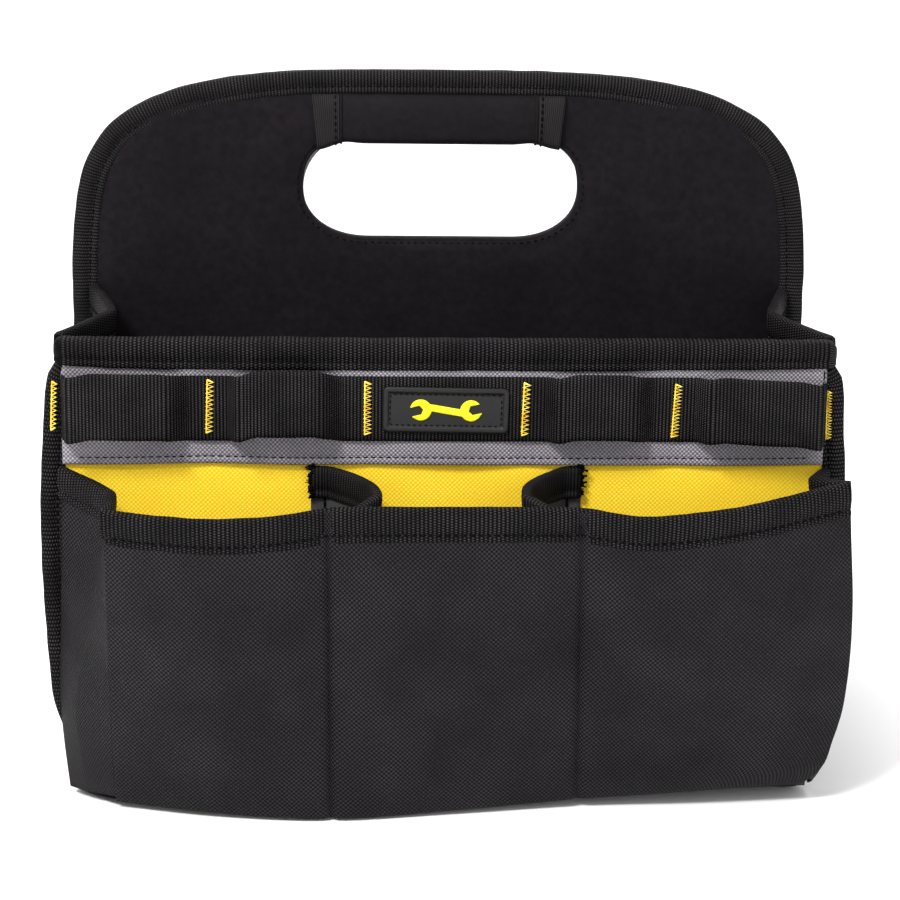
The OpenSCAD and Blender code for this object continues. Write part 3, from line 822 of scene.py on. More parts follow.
def emblem():
    """A plain open-ended spanner, raised and rounded over."""
    head, half_len, jaw = 4.1, 9.5, 1.75

    def head_arc(sign, tilt):
        """Round one head, with its open jaw."""
        mouth = math.asin(jaw / head)
        angles = np.linspace(mouth, math.pi - 0.36, 12)
        upper = [(head * math.cos(a), head * math.sin(a)) for a in angles]
        jaw_in = [(0.2, jaw), (-0.9, 0.0), (0.2, -jaw)]
        lower = [(x, -y) for x, y in upper][::-1]
        loop = np.array(lower + jaw_in[::-1] + upper)
        c, s = math.cos(tilt), math.sin(tilt)
        turned = np.column_stack([loop[:, 0] * c - loop[:, 1] * s, loop[:, 0] * s + loop[:, 1] * c])
        return np.column_stack([sign * turned[:, 0] + sign * half_len, sign * turned[:, 1]])

    outline = np.vstack([head_arc(sign, math.radians(14)) for sign in (1, -1)])
    rings = []
    for shrink, height in ((0.0, 0.6), (0.0, 1.15), (0.18, 1.4), (0.42, 1.5)):
        t = unit(np.roll(outline, -1, axis=0) - np.roll(outline, 1, axis=0))
        inwards = np.column_stack([-t[:, 1], t[:, 0]])
        rings.append(np.column_stack([outline + inwards * shrink, np.full(len(outline), height)]))
    points = np.array(rings)
    uv = wrapped(points[:, :, :2])
    obj = grid("front_spanner_emblem", set_out(label_frame(points), "front"), uv, PRINT, ring=True)
    on_wall(obj, "front", "emblem_print", "emblem")


# ---------- pockets ----------
# Along a pocket row, p runs from 0 at its left end over 1 and 2 at its seams to 3.

TOP_KEYS = [  # p, x, out, z of the pockets' top edge
    (0, -126.0, 119.5, 126.6), (0.25, -105.5, 123.5, 125.6), (0.52, -84, 124.5, 124.8),
    (0.78, -63.0, 122.5, 125.6), (1, -45.0, 118.5, 127.4), (1.25, -24, 121.5, 128.7),
    (1.5, 0.5, 122.5, 128.9), (1.78, 27, 121.5, 128.7), (2, 48.5, 118.5, 127.3),
    (2.22, 69.0, 121.0, 125.0), (2.45, 91.0, 121.5, 126.6), (2.68, 113.0, 118.5, 129.2),
    (2.83, 128.0, 114.5, 131.8), (3, 149.0, 106.5, 134.6)]
FOOT_KEYS = [  # p, x, out, z of their foot
    (0, -126.5, 95.0, 3.2), (0.5, -86, 105.0, 2.6), (1, -43.5, 109.0, 1.6), (1.5, 2, 103.5, 2.6),
    (2, 51.5, 97.5, 4.4), (2.55, 99, 96.5, 7.4), (3, 141.0, 94.0, 9.6)]
FOOT_EASE = 0.06
RIGHT_EDGE = [(0, 141.0), (0.05, 146.6), (0.147, 150.2), (0.243, 152.8), (0.347, 154.0), (0.555, 153.8),
              (0.763, 151.5), (0.92, 149.6), (1, 148.6)]


def panel_point(p, h, side):
    """The pocket panel's outer face, h from 0 at its foot to 1 at its top edge."""
    shape = p.shape
    p, h = p.ravel(), h.ravel()
    top, foot = through(TOP_KEYS, p), through(FOOT_KEYS, p)
    x, out, z = (foot + (top - foot) * h[:, None]).T
    local = np.where(p >= 3, 1.0, p % 1.0)
    seam = np.minimum(np.abs(p - 1), np.abs(p - 2))
    out = out + 3.6 * hump(local, 0.8) * hump(h * 0.94 + 0.03, 0.9) * smooth((1.02 - h) / 0.3)
    out = out - 1.5 * np.exp(-(seam / 0.02) ** 2) * smooth((1 - h) / 0.1)
    right = smooth((p - 2.35) / 0.65)
    x = x + right * (through(RIGHT_EDGE, h) - lerp(FOOT_KEYS[-1][1], TOP_KEYS[-1][1], h))
    out = out - 7.0 * FOOT_EASE / (h + FOOT_EASE) * 0.35
    probe = np.column_stack([x, 0 * x, z])
    slant = np.array([[0.9, 0, 0.35], [0, 1, 0], [-0.5, 0, 1.0]])
    creases = ripple(probe @ slant.T, 30.0, seed_of(side) + 50)
    out = out + 0.9 * creases * hump(h, 0.5) + 0.35 * ripple(probe, 11.0, seed_of(side) + 60) * hump(h, 0.5)
    return np.column_stack([x, out, z]).reshape(shape + (3,))


def pocket_panel(side):
    p = np.linspace(0, 3, 271)
    h = np.concatenate([[0.0, 0.008, 0.02], np.linspace(0.04, 0.995, 62)])
    pp, hh = np.meshgrid(p, h)
    points = panel_point(pp, hh, side)
    u = lengths(points[40])
    uv = np.stack(np.broadcast_arrays(u[None, :], points[:, :, 2]), axis=2)
    obj = grid(f"{side}_pocket_front_cloth", set_out(points, side), uv, POCKET)
    thick(obj, CLOTH_T, -1.0)
    on_wall(obj, side, "black_cloth", "pocket_panel")
    for k, label in ((1, "left"), (2, "right")):
        place = np.full(80, float(k))
        line = panel_point(place, np.linspace(0.03, 0.88, 80), side) + [0, 0.05, 0]
        wall_stitches(side, f"pocket_seam_{label}", line, pitch=3.0, radius=0.22)


def pocket_frame(side):
    """Path, down and outward directions along the pockets' top edge."""
    p = np.linspace(0.0, 3.0, 200)
    top = panel_point(p, np.ones_like(p), side)
    below = panel_point(p, np.full_like(p, 0.9), side)
    down = unit(below - top)
    t = along(top)
    out = unit(np.cross(down, t))
    out *= np.sign(out[:, 1])[:, None]
    return top, down, out


def pocket_binding(side):
    path, down, out = pocket_frame(side)
    centre = path - out * CLOTH_T / 2 + down * 1.0
    leg, half = RIM_LEG + 0.4, CLOTH_T / 2 + 0.1
    p = np.linspace(0.0, 3.0, len(path))
    pinched = 1 - 0.5 * np.exp(-((p - 1) / 0.025) ** 2) - 0.5 * np.exp(-((p - 2) / 0.025) ** 2)
    obj = wall_tape(f"{side}_pocket_top_tape", side, centre, down, out,
                    leg, half, TAPE, puff=0.35, pinch=2.9, seed=seed_of(side) + 70, fade=pinched)
    on_wall(obj, side, "binding_tape", "pocket_binding")
    line = line_on(centre, down, out, leg - 2.9, half + TAPE_T * 0.85)
    wall_stitches(side, "pocket_top", line[2:-2], pitch=3.0, radius=0.26)


ROOT_Z = 132.6          # top of the pockets' gussets where they meet the wall
ROOT_FOOT = 2.0
END_ROOT = [(0, 145.3), (24, 147.6), (38, 148.4), (70, 147.5), (95, 146.7), (120, 146.2), (133, 145.7)]


def web_shape(side, where, s, h):
    """A pocket gusset's middle surface: s from 0 at the wall to 1 at the panel, h up."""
    left = where.endswith("left")
    sign = -1.0 if left else 1.0
    if where.startswith("end"):
        p = 0.0 if left else 3.0
        root_x = sign * through(END_ROOT, lerp(ROOT_FOOT, ROOT_Z, h))
        deepest = 10.5 if left else 9.0
        fold = -sign * through([(0, -2.0), (0.25, -3.5), (0.55, 0.0), (0.8, 6.0), (1, deepest)], h)
        shape = 1 - np.abs(2 * s - 1) ** 1.35
    else:
        p = 1.0 if left else 2.0
        root_x = sign * 45.5 + 0 * h
        fold = -sign * through([(0, 3.0), (0.5, 11.0), (1, 18.6)], h)
        shape = np.where(s < 0.62, np.sin(np.pi / 2 * s / 0.62), (1 - s) / 0.38) ** 0.95
    edge = panel_point(np.full_like(h, p), h, side) - [0, CLOTH_T + 0.3, 0]
    over_tape = 2.4 if where.startswith("end") else 0.7
    root = np.column_stack([root_x, WALL_OUT + over_tape + 0 * h, lerp(ROOT_FOOT, ROOT_Z, h)])
    flat = root + (edge - root) * s[:, None]
    flat[:, 0] += fold * shape
    drop = 1.2 * hump(s) if where.startswith("end") else 5.5 * smooth((s - 0.45) / 0.55)
    flat[:, 2] -= drop * h
    return flat


FLANGE = 6.2            # how far a divider's sewn edge reaches along the wall
WEBS = ("end_left", "end_right", "divider_left", "divider_right")


def pocket_web(side, where):
    """One pleated gusset or divider. A divider also has a flange, sewn down on the wall."""
    divider = where.startswith("divider")
    sign = sign_of(where)
    s, h = np.linspace(0, 1, 33), np.linspace(0.01, 0.985, 40)
    ss, hh = np.meshgrid(s, h)
    points = web_shape(side, where, ss.ravel(), hh.ravel()).reshape(ss.shape + (3,))
    points[:, :, 0] += 0.5 * ripple(points, 22.0, seed_of(side) + 80) * hump(ss)
    u = ss * 46
    if divider:
        out = np.array([FLANGE, 4.2, 2.2, 0.8])
        flange = points[:, :1] + out[None, :, None] * [sign, 0, 0]
        points = np.concatenate([flange, points[:, 1:]], axis=1)
        u = np.concatenate([np.broadcast_to(-out, (len(h), 4)), u[:, 1:]], axis=1)
    uv = np.stack([u, points[:, :, 2]], axis=2)
    obj = grid(f"{side}_pocket_{where}_cloth", set_out(points, side), uv, COATED if divider else POCKET)
    thick(obj, CLOTH_T, 0.0)
    on_wall(obj, side, "black_cloth", f"pocket_{where}")
    if divider:
        h = np.linspace(0.5, 0.97, 40)
        line = web_shape(side, where, 0 * h, h) + [sign * 0.9, 0.65, 0]
        wall_stitches(side, f"{where}_root", line, pitch=2.6, length=2.4, radius=0.6)


def web_tape(side, where):
    """(path, down, side) of the tape on a gusset's top edge, its end turned flat on the wall."""
    s = np.linspace(0, 1, 70)
    top = web_shape(side, where, s, np.ones_like(s))
    low = web_shape(side, where, s, np.full_like(s, 0.9))
    down = unit(low - top)
    if where.startswith("divider"):
        sign = sign_of(where)
        flap = np.linspace(FLANGE - 0.6, 0.8, 9)[:, None]
        start = top[0] + flap * [sign, 0, 0] + [0, 0.6, 0]
        top = np.vstack([start, top[2:]])
        down = np.vstack([np.tile([0, 0, -1.0], (9, 1)), down[2:]])
    top = even(top, 0.8)
    down = unit(sampled(np.linspace(0, 1, len(top)), np.linspace(0, 1, len(down)), down))
    return top, down, unit(np.cross(down, along(top)))


def pocket_web_tapes(side):
    for where in WEBS:
        top, down, out = web_tape(side, where)
        centre = top + down * 0.8
        # The dividers' binding tape takes the darker tape as painted shade; the end gussets' tape takes the
        # plain binding tape.
        obj = wall_tape(f"{side}_{where}_tape", side, centre, down, out, RIM_LEG - 0.8,
                        CLOTH_T / 2 + 0.1, TAPE if where.startswith("end") else EDGE_AND_SHADED_TAPE, puff=0.3,
                        pinch=2.8, seed=seed_of(side) + 90)
        on_wall(obj, side, "binding_tape")
    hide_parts(f"{side}_pocket_gusset_tapes")
    for where in ("divider_left", "divider_right"):
        frayed_end(side, where)


def frayed_end(side, where):
    """Loose fibres at the cut end of a divider's tape."""
    rng = np.random.default_rng(5 if where.endswith("left") else 6)
    top, down, out = web_tape(side, where)
    sign = sign_of(where)
    parts = []
    for _ in range(260):
        along_cut = rng.uniform(-1.6, RIM_LEG - 0.2)
        start = top[0] + down[0] * along_cut + [1.0 * -sign, rng.uniform(-0.8, 1.8), 0]
        clump = 0.5 + 0.5 * math.sin(along_cut * 2.1 + (0.0 if sign > 0 else 1.3))
        reach = 1.3 + 1.5 * clump * rng.uniform(0.6, 1.0) + (1.3 if rng.random() < 0.05 else 0)
        bend = rng.uniform(-0.7, 0.7)
        t = np.linspace(0, 1, 4)[:, None]
        line = start + t * reach * [sign, 0, 0] + t**2 * [0, rng.uniform(0, 0.8), bend]
        radius = rng.uniform(0.16, 0.34)
        parts.append(tube_part(set_out(line, side), radius, np.array([0.1, 0.2, 1.0]), sides=4))
    on_wall(joined(f"{side}_{where}_fray", parts, BLACK_THREAD), side, "binding_tape")


def pocket_base(side):
    """The pockets' bottom, slack between the wall's foot and the panel's."""
    p = np.linspace(0, 3, 90)
    s = np.linspace(0, 1, 12)
    edge = panel_point(p, np.zeros_like(p), side) - [0, 0.3, -0.1]
    root_x = lerp(-145.0, 145.0, p / 3)
    root = np.column_stack([root_x, WALL_OUT + 0.2 + 0 * p, 2.2 + 0 * p])
    points = root[None] + (edge - root)[None] * s[:, None, None]
    points[:, :, 2] -= 1.2 * hump(s)[:, None] * smooth((points[:, :, 2] - 1.0) / 3)
    uv = points[:, :, :2]
    obj = grid(f"{side}_pocket_bottom_cloth", set_out(points, side), uv, POCKET)
    thick(obj, 0.7, 0.0)
    on_wall(obj, side, "black_cloth", "pocket_base")


def wall(side):
    """Every piece that rides on one wall."""
    wall_panel(side)
    wall_lining(side)
    wall_band(side)
    rim_binding(side)
    seam_binding(side)
    webbing(side)
    bar_tacks(side)
    pocket_panel(side)
    pocket_base(side)
    pocket_binding(side)
    for where in WEBS:
        pocket_web(side, where)
    pocket_web_tapes(side)


# ---------- compartment gussets ----------

GUSSET_RISE = 7.0       # the gussets' edge climbs this much from the rim to the board


def gusset_point(x_sign, s, h):
    """A side gusset in (x, out, z): s from 0 at the board to 1 at the wall, h up."""
    low, high = COVER_OUT + 1.6, WALL_IN - 1.2
    root_x = lerp(BOARD_HALF_W - 4.5, BOARD_HALF_W - 9.0, h)
    wall_x = lerp(BOARD_HALF_W - 4.5, BOARD_HALF_W - 2.6, h)
    x = lerp(root_x, wall_x, s)
    fold = 13.2 * h ** 0.9
    crease = 1 - np.abs(2 * np.clip(s * 1.04, 0, 1) - 1) ** 1.12
    x = x - fold * crease
    out = lerp(low, high, s)
    top = GUSSET_TOP + 0.4 + GUSSET_RISE * (1 - s) ** 1.3
    z = lerp(FLOOR_Z + 0.3, top, h)
    return np.column_stack([x_sign * x, out, z])


def centre_gusset(side, x_side):
    """One folding side of a compartment with its tape, which bends between board and wall."""
    x_sign = (-1.0 if x_side == "left" else 1.0) * (1 if side == "front" else -1)
    s, h = np.linspace(0, 1, 41), np.linspace(0, 0.99, 60)
    ss, hh = np.meshgrid(s, h)
    points = gusset_point(x_sign, ss.ravel(), hh.ravel()).reshape(ss.shape + (3,))
    points[:, :, 0] += 0.8 * ripple(points, 34.0, seed_of(side) + 7 * x_sign) * hump(ss)
    uv = np.stack([ss * 78, points[:, :, 2]], axis=2)
    name = f"{side}_{x_side}_gusset"
    cloth = grid(name + "_cloth", set_out(points, side), uv, LINING)
    thick(cloth, 1.0, 0.0)
    s = np.linspace(0, 1, 110)
    top = gusset_point(x_sign, s, np.ones_like(s))
    down = unit(gusset_point(x_sign, s, np.full_like(s, 0.92)) - top)
    out = unit(np.cross(down, along(top)))
    centre = top + down * 0.8
    tape = wall_tape(name + "_tape", side, centre, down, out,
                     RIM_LEG - 0.8, 0.6, TAPE, puff=0.35, pinch=3.0, seed=seed_of(side) + 30)
    pieces = [(cloth, "lining_cloth", f"gusset_{side}_{x_side}"),
              (tape, "binding_tape", f"gusset_tape_{side}_{x_side}")]
    for face in (1, -1):
        line = line_on(centre, down, out, RIM_LEG - 3.8, face * (0.6 + TAPE_T * 0.85))[3:-3]
        spots, up = set_out(line, side), set_out(out[3:-3] * face, side)
        label = "in" if face > 0 else "out"
        pieces.append((sewn(f"{name}_stitches_{label}", spots, up, 3.1, 2.1, 0.25), "thread", None))
    for obj, slot, node in pieces:
        if node:
            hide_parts(node)
        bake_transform(obj)


# ---------- centre board ----------

def slack(z):
    """How much the worn board's sides give inwards at height z."""
    return 1.0 * hump((z - 196) / 58)


def board_half(z):
    """Half the board's width at height z: a superellipse over its shoulders."""
    t = np.clip((z - (BOARD_TOP - SHOULDER_H)) / SHOULDER_H, 0, 1)
    return BOARD_HALF_W * (1 - t**SHOULDER_N) ** (1 / SHOULDER_N) - slack(z)


def board_edge(steps=260):
    """The board's edge from its left foot over the top to its right foot, as (x, z)."""
    a = np.linspace(math.pi, 0, steps)
    c, s = np.cos(a), np.sin(a)
    x = BOARD_HALF_W * np.sign(c) * np.abs(c) ** (2 / SHOULDER_N)
    z = BOARD_TOP - SHOULDER_H + SHOULDER_H * np.abs(s) ** (2 / SHOULDER_N)
    leg = np.linspace(BOARD_FOOT, BOARD_TOP - SHOULDER_H, 60)[:-1]
    path = np.vstack([np.column_stack([np.full(59, -BOARD_HALF_W), leg]), np.column_stack([x, z]),
                      np.column_stack([np.full(59, BOARD_HALF_W), leg[::-1]])])
    path[:, 0] -= np.sign(path[:, 0]) * slack(path[:, 1]) * smooth(np.abs(path[:, 0]) / 60)
    return even(np.column_stack([path[:, 0], 0 * path[:, 0], path[:, 1]]), 1.6)


def slot_loop(shrink=0.0, n=240):
    """The hand slot's edge as an even closed loop of (x, z), smaller by shrink."""
    r = SLOT_HALF_H - shrink
    half = SLOT_HALF_W + 0.4 - shrink - r
    arc = np.linspace(-math.pi / 2, math.pi / 2, 80)
    wide = np.where(arc < 0, 1.35, 1.05)
    power = np.where(arc < 0, 2 / 2.15, 2 / 2.5)
    across = r * (1 - wide + wide * np.abs(np.cos(arc)) ** power)
    rise = r * np.sign(arc) * np.abs(np.sin(arc)) ** power
    right = np.column_stack([half + across, SLOT_Z + rise])
    left = right[::-1] * [-1, 1]
    loop = np.vstack([right, left, right[:1]]) - [0.5, 0]
    loop = np.column_stack([loop[:, 0], 0 * loop[:, 0], loop[:, 1]])
    s = lengths(loop)
    return sampled(np.linspace(0, s[-1], n, endpoint=False), s, loop)[:, [0, 2]]


def inside_board(x, z, inset):
    t = np.clip((z - (BOARD_TOP - SHOULDER_H)) / (SHOULDER_H - inset), 0, 2)
    x = np.abs(x) + slack(z)
    return ((x / (BOARD_HALF_W - inset)) ** SHOULDER_N + t**SHOULDER_N < 1) & (z > BOARD_FOOT + 0.2) \
        & (x < BOARD_HALF_W - inset)


def board_cover(side):
    """A cover cloth as a ring of cells between the hand slot and the edge tape."""
    slot = slot_loop(-1.0)
    centre = np.array([0.0, SLOT_Z])
    ray = unit(slot - centre)
    near, far = np.zeros(len(slot)), np.full(len(slot), 400.0)
    for _ in range(34):
        middle = (near + far) / 2
        at = centre + ray * middle[:, None]
        ok = inside_board(at[:, 0], at[:, 1], 1.6)
        near, far = np.where(ok, middle, near), np.where(ok, far, middle)
    rim = centre + ray * near[:, None]
    t = np.linspace(0, 1, 64)[:, None, None] ** 0.9
    flat = slot[None] + (rim - slot)[None] * t
    x, z = flat[:, :, 0], flat[:, :, 1]
    edge_gap = np.minimum(board_half(z) - np.abs(x), BOARD_TOP - z)
    slot_gap = np.hypot(np.maximum(np.abs(x) - (SLOT_HALF_W - SLOT_HALF_H), 0), z - SLOT_Z) - SLOT_HALF_H
    probe = np.stack([x, 0 * x, z], axis=2)
    seed = 11.0 if side == "front" else 47.0
    puff = 0.8 * smooth((edge_gap - 8) / 9) * smooth((slot_gap - 2.5) / 7)
    slant = probe @ np.array([[1.0, 0, 0.6], [0, 1, 0], [-0.25, 0, 0.5]]).T
    near_grip = np.exp(-((np.abs(x) - 72) / 26) ** 2 - ((z - 258) / 16) ** 2)
    creases = ripple(slant, 13.0, seed) * near_grip * 1.1 + 0.45 * ripple(probe, 62.0, seed)
    out = COVER_OUT + 0.05 + puff * (1 + 0.5 * creases) \
        + 0.5 * np.maximum(creases, -0.2) * smooth((edge_gap - 9) / 6) * smooth((slot_gap - 4) / 6)
    points = np.stack([x, out, z], axis=2)
    if side == "front":
        points = points[:, ::-1]
    points = points * [1, -1 if side == "front" else 1, 1]
    points, uv = wrapped(points), wrapped(points[:, :, [0, 2]])
    obj = welded(grid(f"board_cloth_{side}", points, uv, COVER))
    thick(obj, 0.6, -1.0)
    on_centre(obj, "board_cloth", f"board_cover_{side}")


def board_binding():
    path = board_edge()
    inwards = towards(path, [0, 0, 150.0])
    centre = path + inwards * 0.9
    side = np.broadcast_to([0, -1.0, 0], path.shape)
    leg = EDGE_LEG - 0.9
    reach = 1 + 0.16 * smooth((np.abs(path[:, 0]) - 50) / 50)
    obj = over_edge("board_edge_tape", centre, inwards, side, leg, COVER_OUT + 0.1, EDGE_AND_SHADED_TAPE,
                    puff=0.75, pinch=2.6, seed=15.0, reach=reach)
    on_centre(obj, "binding_tape", "board_edge_binding")
    for face, label in ((1, "front"), (-1, "rear")):
        line = centre + ((leg - 2.6) * reach)[:, None] * inwards \
            + face * (COVER_OUT + 0.1 + TAPE_T * 0.6) * side
        on_centre(sewn(f"board_edge_stitches_{label}", line, side * face, 3.0, 2.1, 0.25), "thread")


def slot_hem():
    """Turned cloth round the hand slot, topstitched."""
    loop = slot_loop()
    loop = np.column_stack([loop[:, 0], 0 * loop[:, 0], loop[:, 1]])
    closed = np.vstack([loop[-1:], loop, loop[:1]])
    t = unit(closed[2:] - closed[:-2])
    outwards = np.column_stack([t[:, 2], np.zeros(len(t)), -t[:, 0]])
    outwards *= np.sign(np.sum(outwards * (loop - [0, 0, SLOT_Z]), axis=1))[:, None]
    places = [(HEM_LEG + 1.2, 0.1), (HEM_LEG, 0.25), (3.2, 0.4), (2.7, 0.12), (2.1, 0.0), (1.6, 0.3),
              (1.0, 0.55), (0.4, 0.4)]
    outer = [(d, COVER_OUT + 0.15 + k) for d, k in places]
    turn = [(0.05, (COVER_OUT + 0.3) * c) for c in (0.85, 0.45, 0.0, -0.45, -0.85)]
    rear = [(d, -s) for d, s in outer[::-1]]
    inner = [(HEM_LEG + 1.2, -COVER_OUT + 0.2), (0.8, -COVER_OUT + 0.3),
             (0.8, COVER_OUT - 0.3), (HEM_LEG + 1.2, COVER_OUT - 0.2)]
    profile = np.array(outer + turn + rear + inner)
    points = loop[:, None] + profile[None, :, 0:1] * outwards[:, None] \
        + profile[None, :, 1:2] * np.array([0, -1.0, 0])
    v = lengths(np.column_stack([profile, np.zeros(len(profile))]))
    u = lengths(loop)
    u = np.append(u, u[-1] + 1.2)
    points = np.concatenate([points, points[:1]], axis=0)
    points = wrapped(points)
    v = np.append(v, v[-1] + 1)
    uv = cloth_uv(u, v)
    obj = welded(grid("slot_hem_cloth", points, uv, HEM))
    on_centre(obj, "binding_tape", "slot_hem")
    for face, label in ((1, "front"), (-1, "rear")):
        line = np.vstack([loop, loop[:1]]) + 2.15 * np.vstack([outwards, outwards[:1]]) \
            + np.array([0, -face * (COVER_OUT + 0.3), 0])
        line = even(line, 0.5)
        up = np.broadcast_to([0, -1.0 * face, 0], line.shape)
        on_centre(sewn(f"slot_stitches_{label}", line, up, 2.9, 1.7, 0.52), "thread")


# ---------- grip ----------

GRIP_FOOT = SLOT_Z + SLOT_HALF_H     # the bare bar's lower edge
GRIP_SHIFT = -1.6                    # the wrap sits a little to the left
CUFF_SLANT = 2.0                     # its cuffs' ends lean in by this much at the foot


def grip_section(x, swell):
    """The wrap round the bar at x as (out, z), from the front under the bar to the back."""
    top = GRIP_TOP + 0.6
    half = COVER_OUT + 1.0 + swell
    low = GRIP_FOOT - (3.4 if x < GRIP_SHIFT else 2.6) * smooth((abs(x - GRIP_SHIFT) - 35) / 17)
    foot = low - swell * 0.6
    bend = low + 1.8
    side = [(half * k, lerp(top, bend, t)) for t, k in
            ((0, 0.62), (0.05, 0.74), (0.12, 0.86), (0.25, 0.97), (0.42, 1.03), (0.6, 1.04),
             (0.8, 1.0), (1.0, 0.93))]
    a = np.linspace(0.25, math.pi - 0.25, 11)
    under = [(half * 0.92 * math.cos(k), bend - (bend - foot) * math.sin(k) ** 0.8) for k in a]
    return np.array(side + under + [(-o, z) for o, z in side[::-1]])


def slanted(x, z):
    """x moved inwards towards the foot, near the wrap's ends."""
    away = x - GRIP_SHIFT
    fall = np.clip((GRIP_TOP - z) / (GRIP_TOP - GRIP_FOOT), 0, 1)
    return x - np.sign(away) * CUFF_SLANT * fall * smooth((np.abs(away) - 38) / 13)


def grip_ring(x, swell):
    section = grip_section(x, swell)
    return np.column_stack([slanted(np.full(len(section), x), section[:, 1]), -section[:, 0], section[:, 1]])


def grip_wrap(name, low, high, swell_at, material, seed):
    """A closed wrap round the bar from x low to high. swell_at gives its thickness at x."""
    x = np.linspace(low, high, max(8, int((high - low) / 1.0)))
    points = np.array([grip_ring(at, swell_at(at)) for at in x])
    points[:, :, 1] += 0.22 * ripple(points, 15.0, seed) * np.sign(points[:, :, 1])
    v = lengths(points[0])
    v = np.append(v, v[-1] + 5)
    uv = cloth_uv(x - low, v)
    return grid(name, points, uv, material, ring=True)


def grip():
    """Foam and a smooth sleeve round the bar, with a sewn cuff at each end."""
    cuff = END_TAPE_W - 1.2
    full = GRIP_OUT - COVER_OUT - 1.6
    low, high = GRIP_SHIFT - GRIP_HALF_L + 0.3, GRIP_SHIFT + GRIP_HALF_L - 0.3

    def sleeve_swell(x):
        inside = min(x - low - cuff, high - cuff - x)
        return full + 1.3 * smooth((inside + 0.5) / 11) - 0.7 * smooth(-inside / 3)

    sleeve = grip_wrap("grip_sleeve_cloth", low + 0.6, high - 0.6, sleeve_swell, SLEEVE, 1.0)
    on_centre(sleeve, "sleeve_cloth", "grip_sleeve")
    pad = grip_wrap("grip_foam_pad", low + 1.2, high - 1.2, lambda x: full - 1.9, FOAM, 2.0)
    on_centre(pad, "foam", "grip_pad")
    for sign, end, label in ((-1, low, "left"), (1, high, "right")):
        inner = end - sign * cuff
        start, stop = sorted((inner, end))
        tape = grip_wrap(f"grip_tape_{label}", start, stop, lambda x: full + 0.3, ELASTIC, 3.0 + sign)
        on_centre(tape, "binding_tape", f"grip_end_tape_{label}")
        line = even(grip_ring(inner + sign * 2.1, full + 0.35), 0.5)
        up = unit(line * [0, 1, 1] - [0, 0, GRIP_FOOT + 8])
        on_centre(sewn(f"grip_stitches_{label}", line, up, 2.7, 1.8, 0.4), "thread")
        cord = even(grip_ring(inner - sign * 0.3, full + 0.2), 0.8)
        part = tube_part(cord, 0.55, np.array([1.0, 0, 0.01]))
        on_centre(joined(f"grip_piping_{label}", [part], SLEEVE), "binding_tape")


# ---------- base ----------

BASE_X, BASE_Y = 145.4, 69.2      # half its length and width, over its turned edges


def base_sheet(name, node, slot, material, low, high, inset, belly=0.0):
    """One layer of the base between heights low and high, with soft corners and edges."""
    x, y = np.linspace(-1, 1, 71), np.linspace(-1, 1, 37)
    xx, yy = np.meshgrid(x, y)
    rounded = 1 - 0.02 * (xx**2 * yy**2) ** 4
    xx, yy = xx * (BASE_X - inset) * rounded, yy * (BASE_Y - inset) * rounded
    top = high + belly * (ripple(np.stack([xx, yy, 0 * xx], axis=2), 40.0, 3.0) - 1)
    upper = np.stack([xx, yy, top], axis=2)
    lower = np.stack([xx, yy, np.full_like(xx, low)], axis=2)
    points = np.concatenate([upper, lower[:, ::-1]], axis=1)
    uv = wrapped(points[:, :, :2])
    obj = grid(name, points[::-1], uv, material, ring=True)
    on_centre(obj, slot, node)


def base():
    """A board between two cloths. The lower cloth's edge is turned up round the board."""
    board_low, board_high = span("base_board")[0][2], span("base_board")[1][2]
    base_sheet("base_bottom_cloth", "base_cloth", "black_cloth", POCKET, 0.0, board_low, 0.0)
    base_sheet("base_stiff_board", "base_board", "board", BOARD, board_low, board_high, 1.2)
    base_sheet("base_floor_cloth", "base_lining", "lining_cloth", LINING, board_high, FLOOR_Z,
               FLOOR_INSET, 0.08)
    at = np.linspace(0, 1, 60)
    x, y = lerp(-BASE_X, BASE_X, at), lerp(-BASE_Y, BASE_Y, at)
    section = np.array([(0.0, 0.2), (-0.15, 1.6), (0.0, board_high), (0.6, board_high + 0.35),
                        (5.0, board_high + 0.35), (5.0, board_high), (1.1, board_high - 0.1), (1.1, 0.2)])
    v = np.append(lengths(np.column_stack([section, 0 * section[:, 0]])), 14)
    for label, edge in (("front", [x, 0 * x - BASE_Y]), ("rear", [x, 0 * x + BASE_Y]),
                        ("left", [0 * y - BASE_X, y]), ("right", [0 * y + BASE_X, y])):
        line = np.column_stack(edge)
        inwards = -np.sign(line.mean(axis=0)) * (np.abs(line.mean(axis=0)) > 1)
        points = np.concatenate([line[:, None] + section[None, :, :1] * inwards,
                                 np.broadcast_to(section[None, :, 1:], (60, 8, 1))], axis=2)
        uv = cloth_uv(at * 280, v)
        on_centre(grid(f"base_turned_edge_{label}", points, uv, POCKET, ring=True), "black_cloth")


def boards():
    """The centre's stiff board stays hidden in its cloth."""
    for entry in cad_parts["board_core"].material_slots:
        entry.link = "OBJECT"
        entry.material = BOARD


# ---------- studio ----------

def area_light(name, place, aim, size, power):
    data = bpy.data.lights.new(name, "AREA")
    data.shape = "RECTANGLE"
    data.size, data.size_y = size
    data.energy = power
    obj = placed(name, data)
    obj.location = place
    obj.rotation_euler = (Vector(aim) - Vector(place)).to_track_quat("-Z", "Y").to_euler()


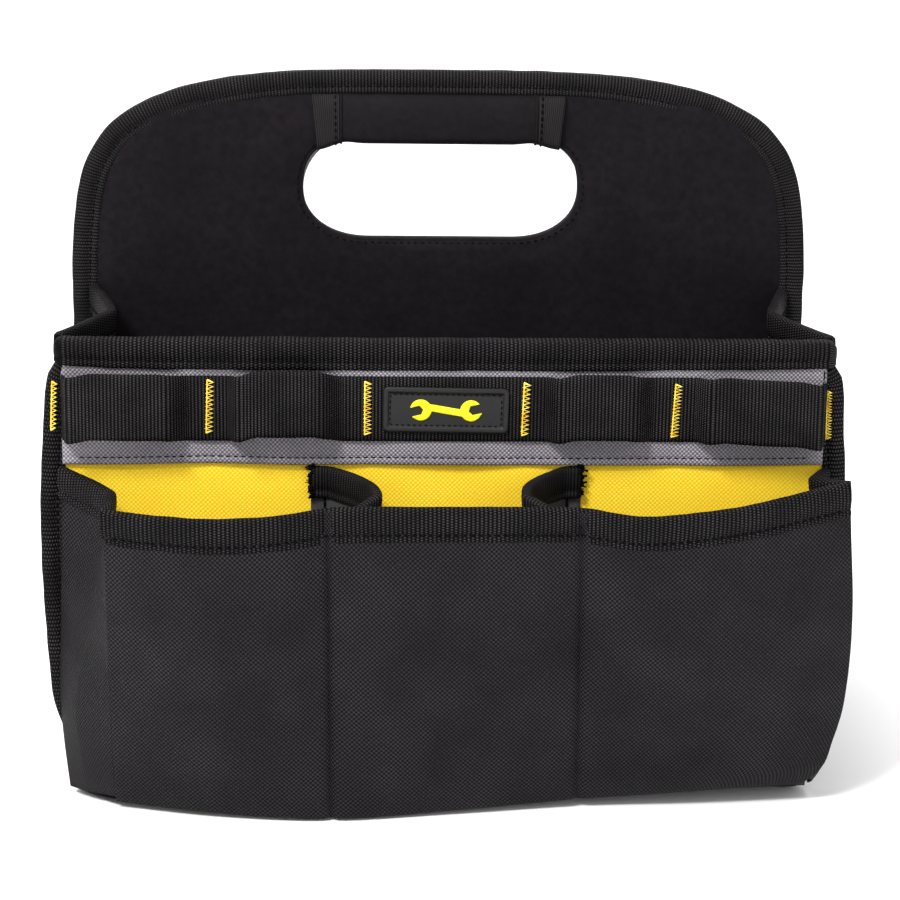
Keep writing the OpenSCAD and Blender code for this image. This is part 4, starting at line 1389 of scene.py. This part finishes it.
def studio():
    """Pale sweep, even white surroundings and three soft lights."""
    world = bpy.data.worlds.new("studio")
    world.use_nodes = True
    world.node_tree.nodes["Background"].inputs["Color"].default_value = (1, 1, 1, 1)
    world.node_tree.nodes["Background"].inputs["Strength"].default_value = 0.9
    bpy.context.scene.world = world
    g = Graph("pale_floor", 0.9, specular=0.1)
    g.colour(g.blend(g.noise(3, 2), (0.90, 0.90, 0.90), (0.93, 0.93, 0.93)))
    across = np.linspace(-4, 4, 5)
    a = np.linspace(0, math.pi / 2, 14)
    bend = np.column_stack([1.2 + 1.0 * np.sin(a), 1.0 - 1.0 * np.cos(a)])
    sweep = np.vstack([[(-4.0, 0.0), (1.2, 0.0)], bend, [(2.2, 4.0)]])
    points = np.array([[(x, y, z) for x in across] for y, z in sweep]) / MM
    floor = grid("studio_sweep", points[::-1], points[::-1][:, :, :2], g.material)
    area_light("key", (-1.0, -1.35, 1.9), (0, 0, 0.12), (0.55, 0.55), 64)
    area_light("fill", (1.6, -1.6, 0.9), (0, 0, 0.12), (1.4, 1.0), 6)
    area_light("top", (-0.3, 0.2, 2.0), (0, 0, 0.1), (1.4, 1.0), 24)


AZIMUTH, ELEVATION, ROLL = -2.743, 14.266, 0.833   # degrees
AIM = (4.9, 0, 119.5)                               # millimetres
DISTANCE = 0.9384                                   # metres
LENS, SENSOR = 90.16, 36


def camera():
    """From the front, a little above and to the left, on a short telephoto lens."""
    azimuth, elevation, roll = (math.radians(a) for a in (AZIMUTH, ELEVATION, ROLL))
    target = Vector(AIM) * MM
    away = Vector((math.sin(azimuth) * math.cos(elevation), -math.cos(azimuth) * math.cos(elevation),
                   math.sin(elevation)))
    data = bpy.data.cameras.new("camera")
    data.lens = LENS
    data.sensor_width = SENSOR
    obj = placed("camera", data)
    obj.location = target + away * DISTANCE
    look = (-away).to_track_quat("-Z", "Y").to_matrix().to_4x4()
    obj.matrix_world = Matrix.Translation(obj.location) @ look @ Matrix.Rotation(roll, 4, "Z")
    bpy.context.scene.camera = obj


# ---------- the tote ----------

camera()
studio()
boards()
base()
board_cover("front")
board_cover("rear")
board_binding()
slot_hem()
grip()
for wall_side in ("front", "rear"):
    wall(wall_side)
    for gusset_side in ("left", "right"):
        centre_gusset(wall_side, gusset_side)
label()
emblem()

bpy.context.scene.view_settings.view_transform = "Standard"
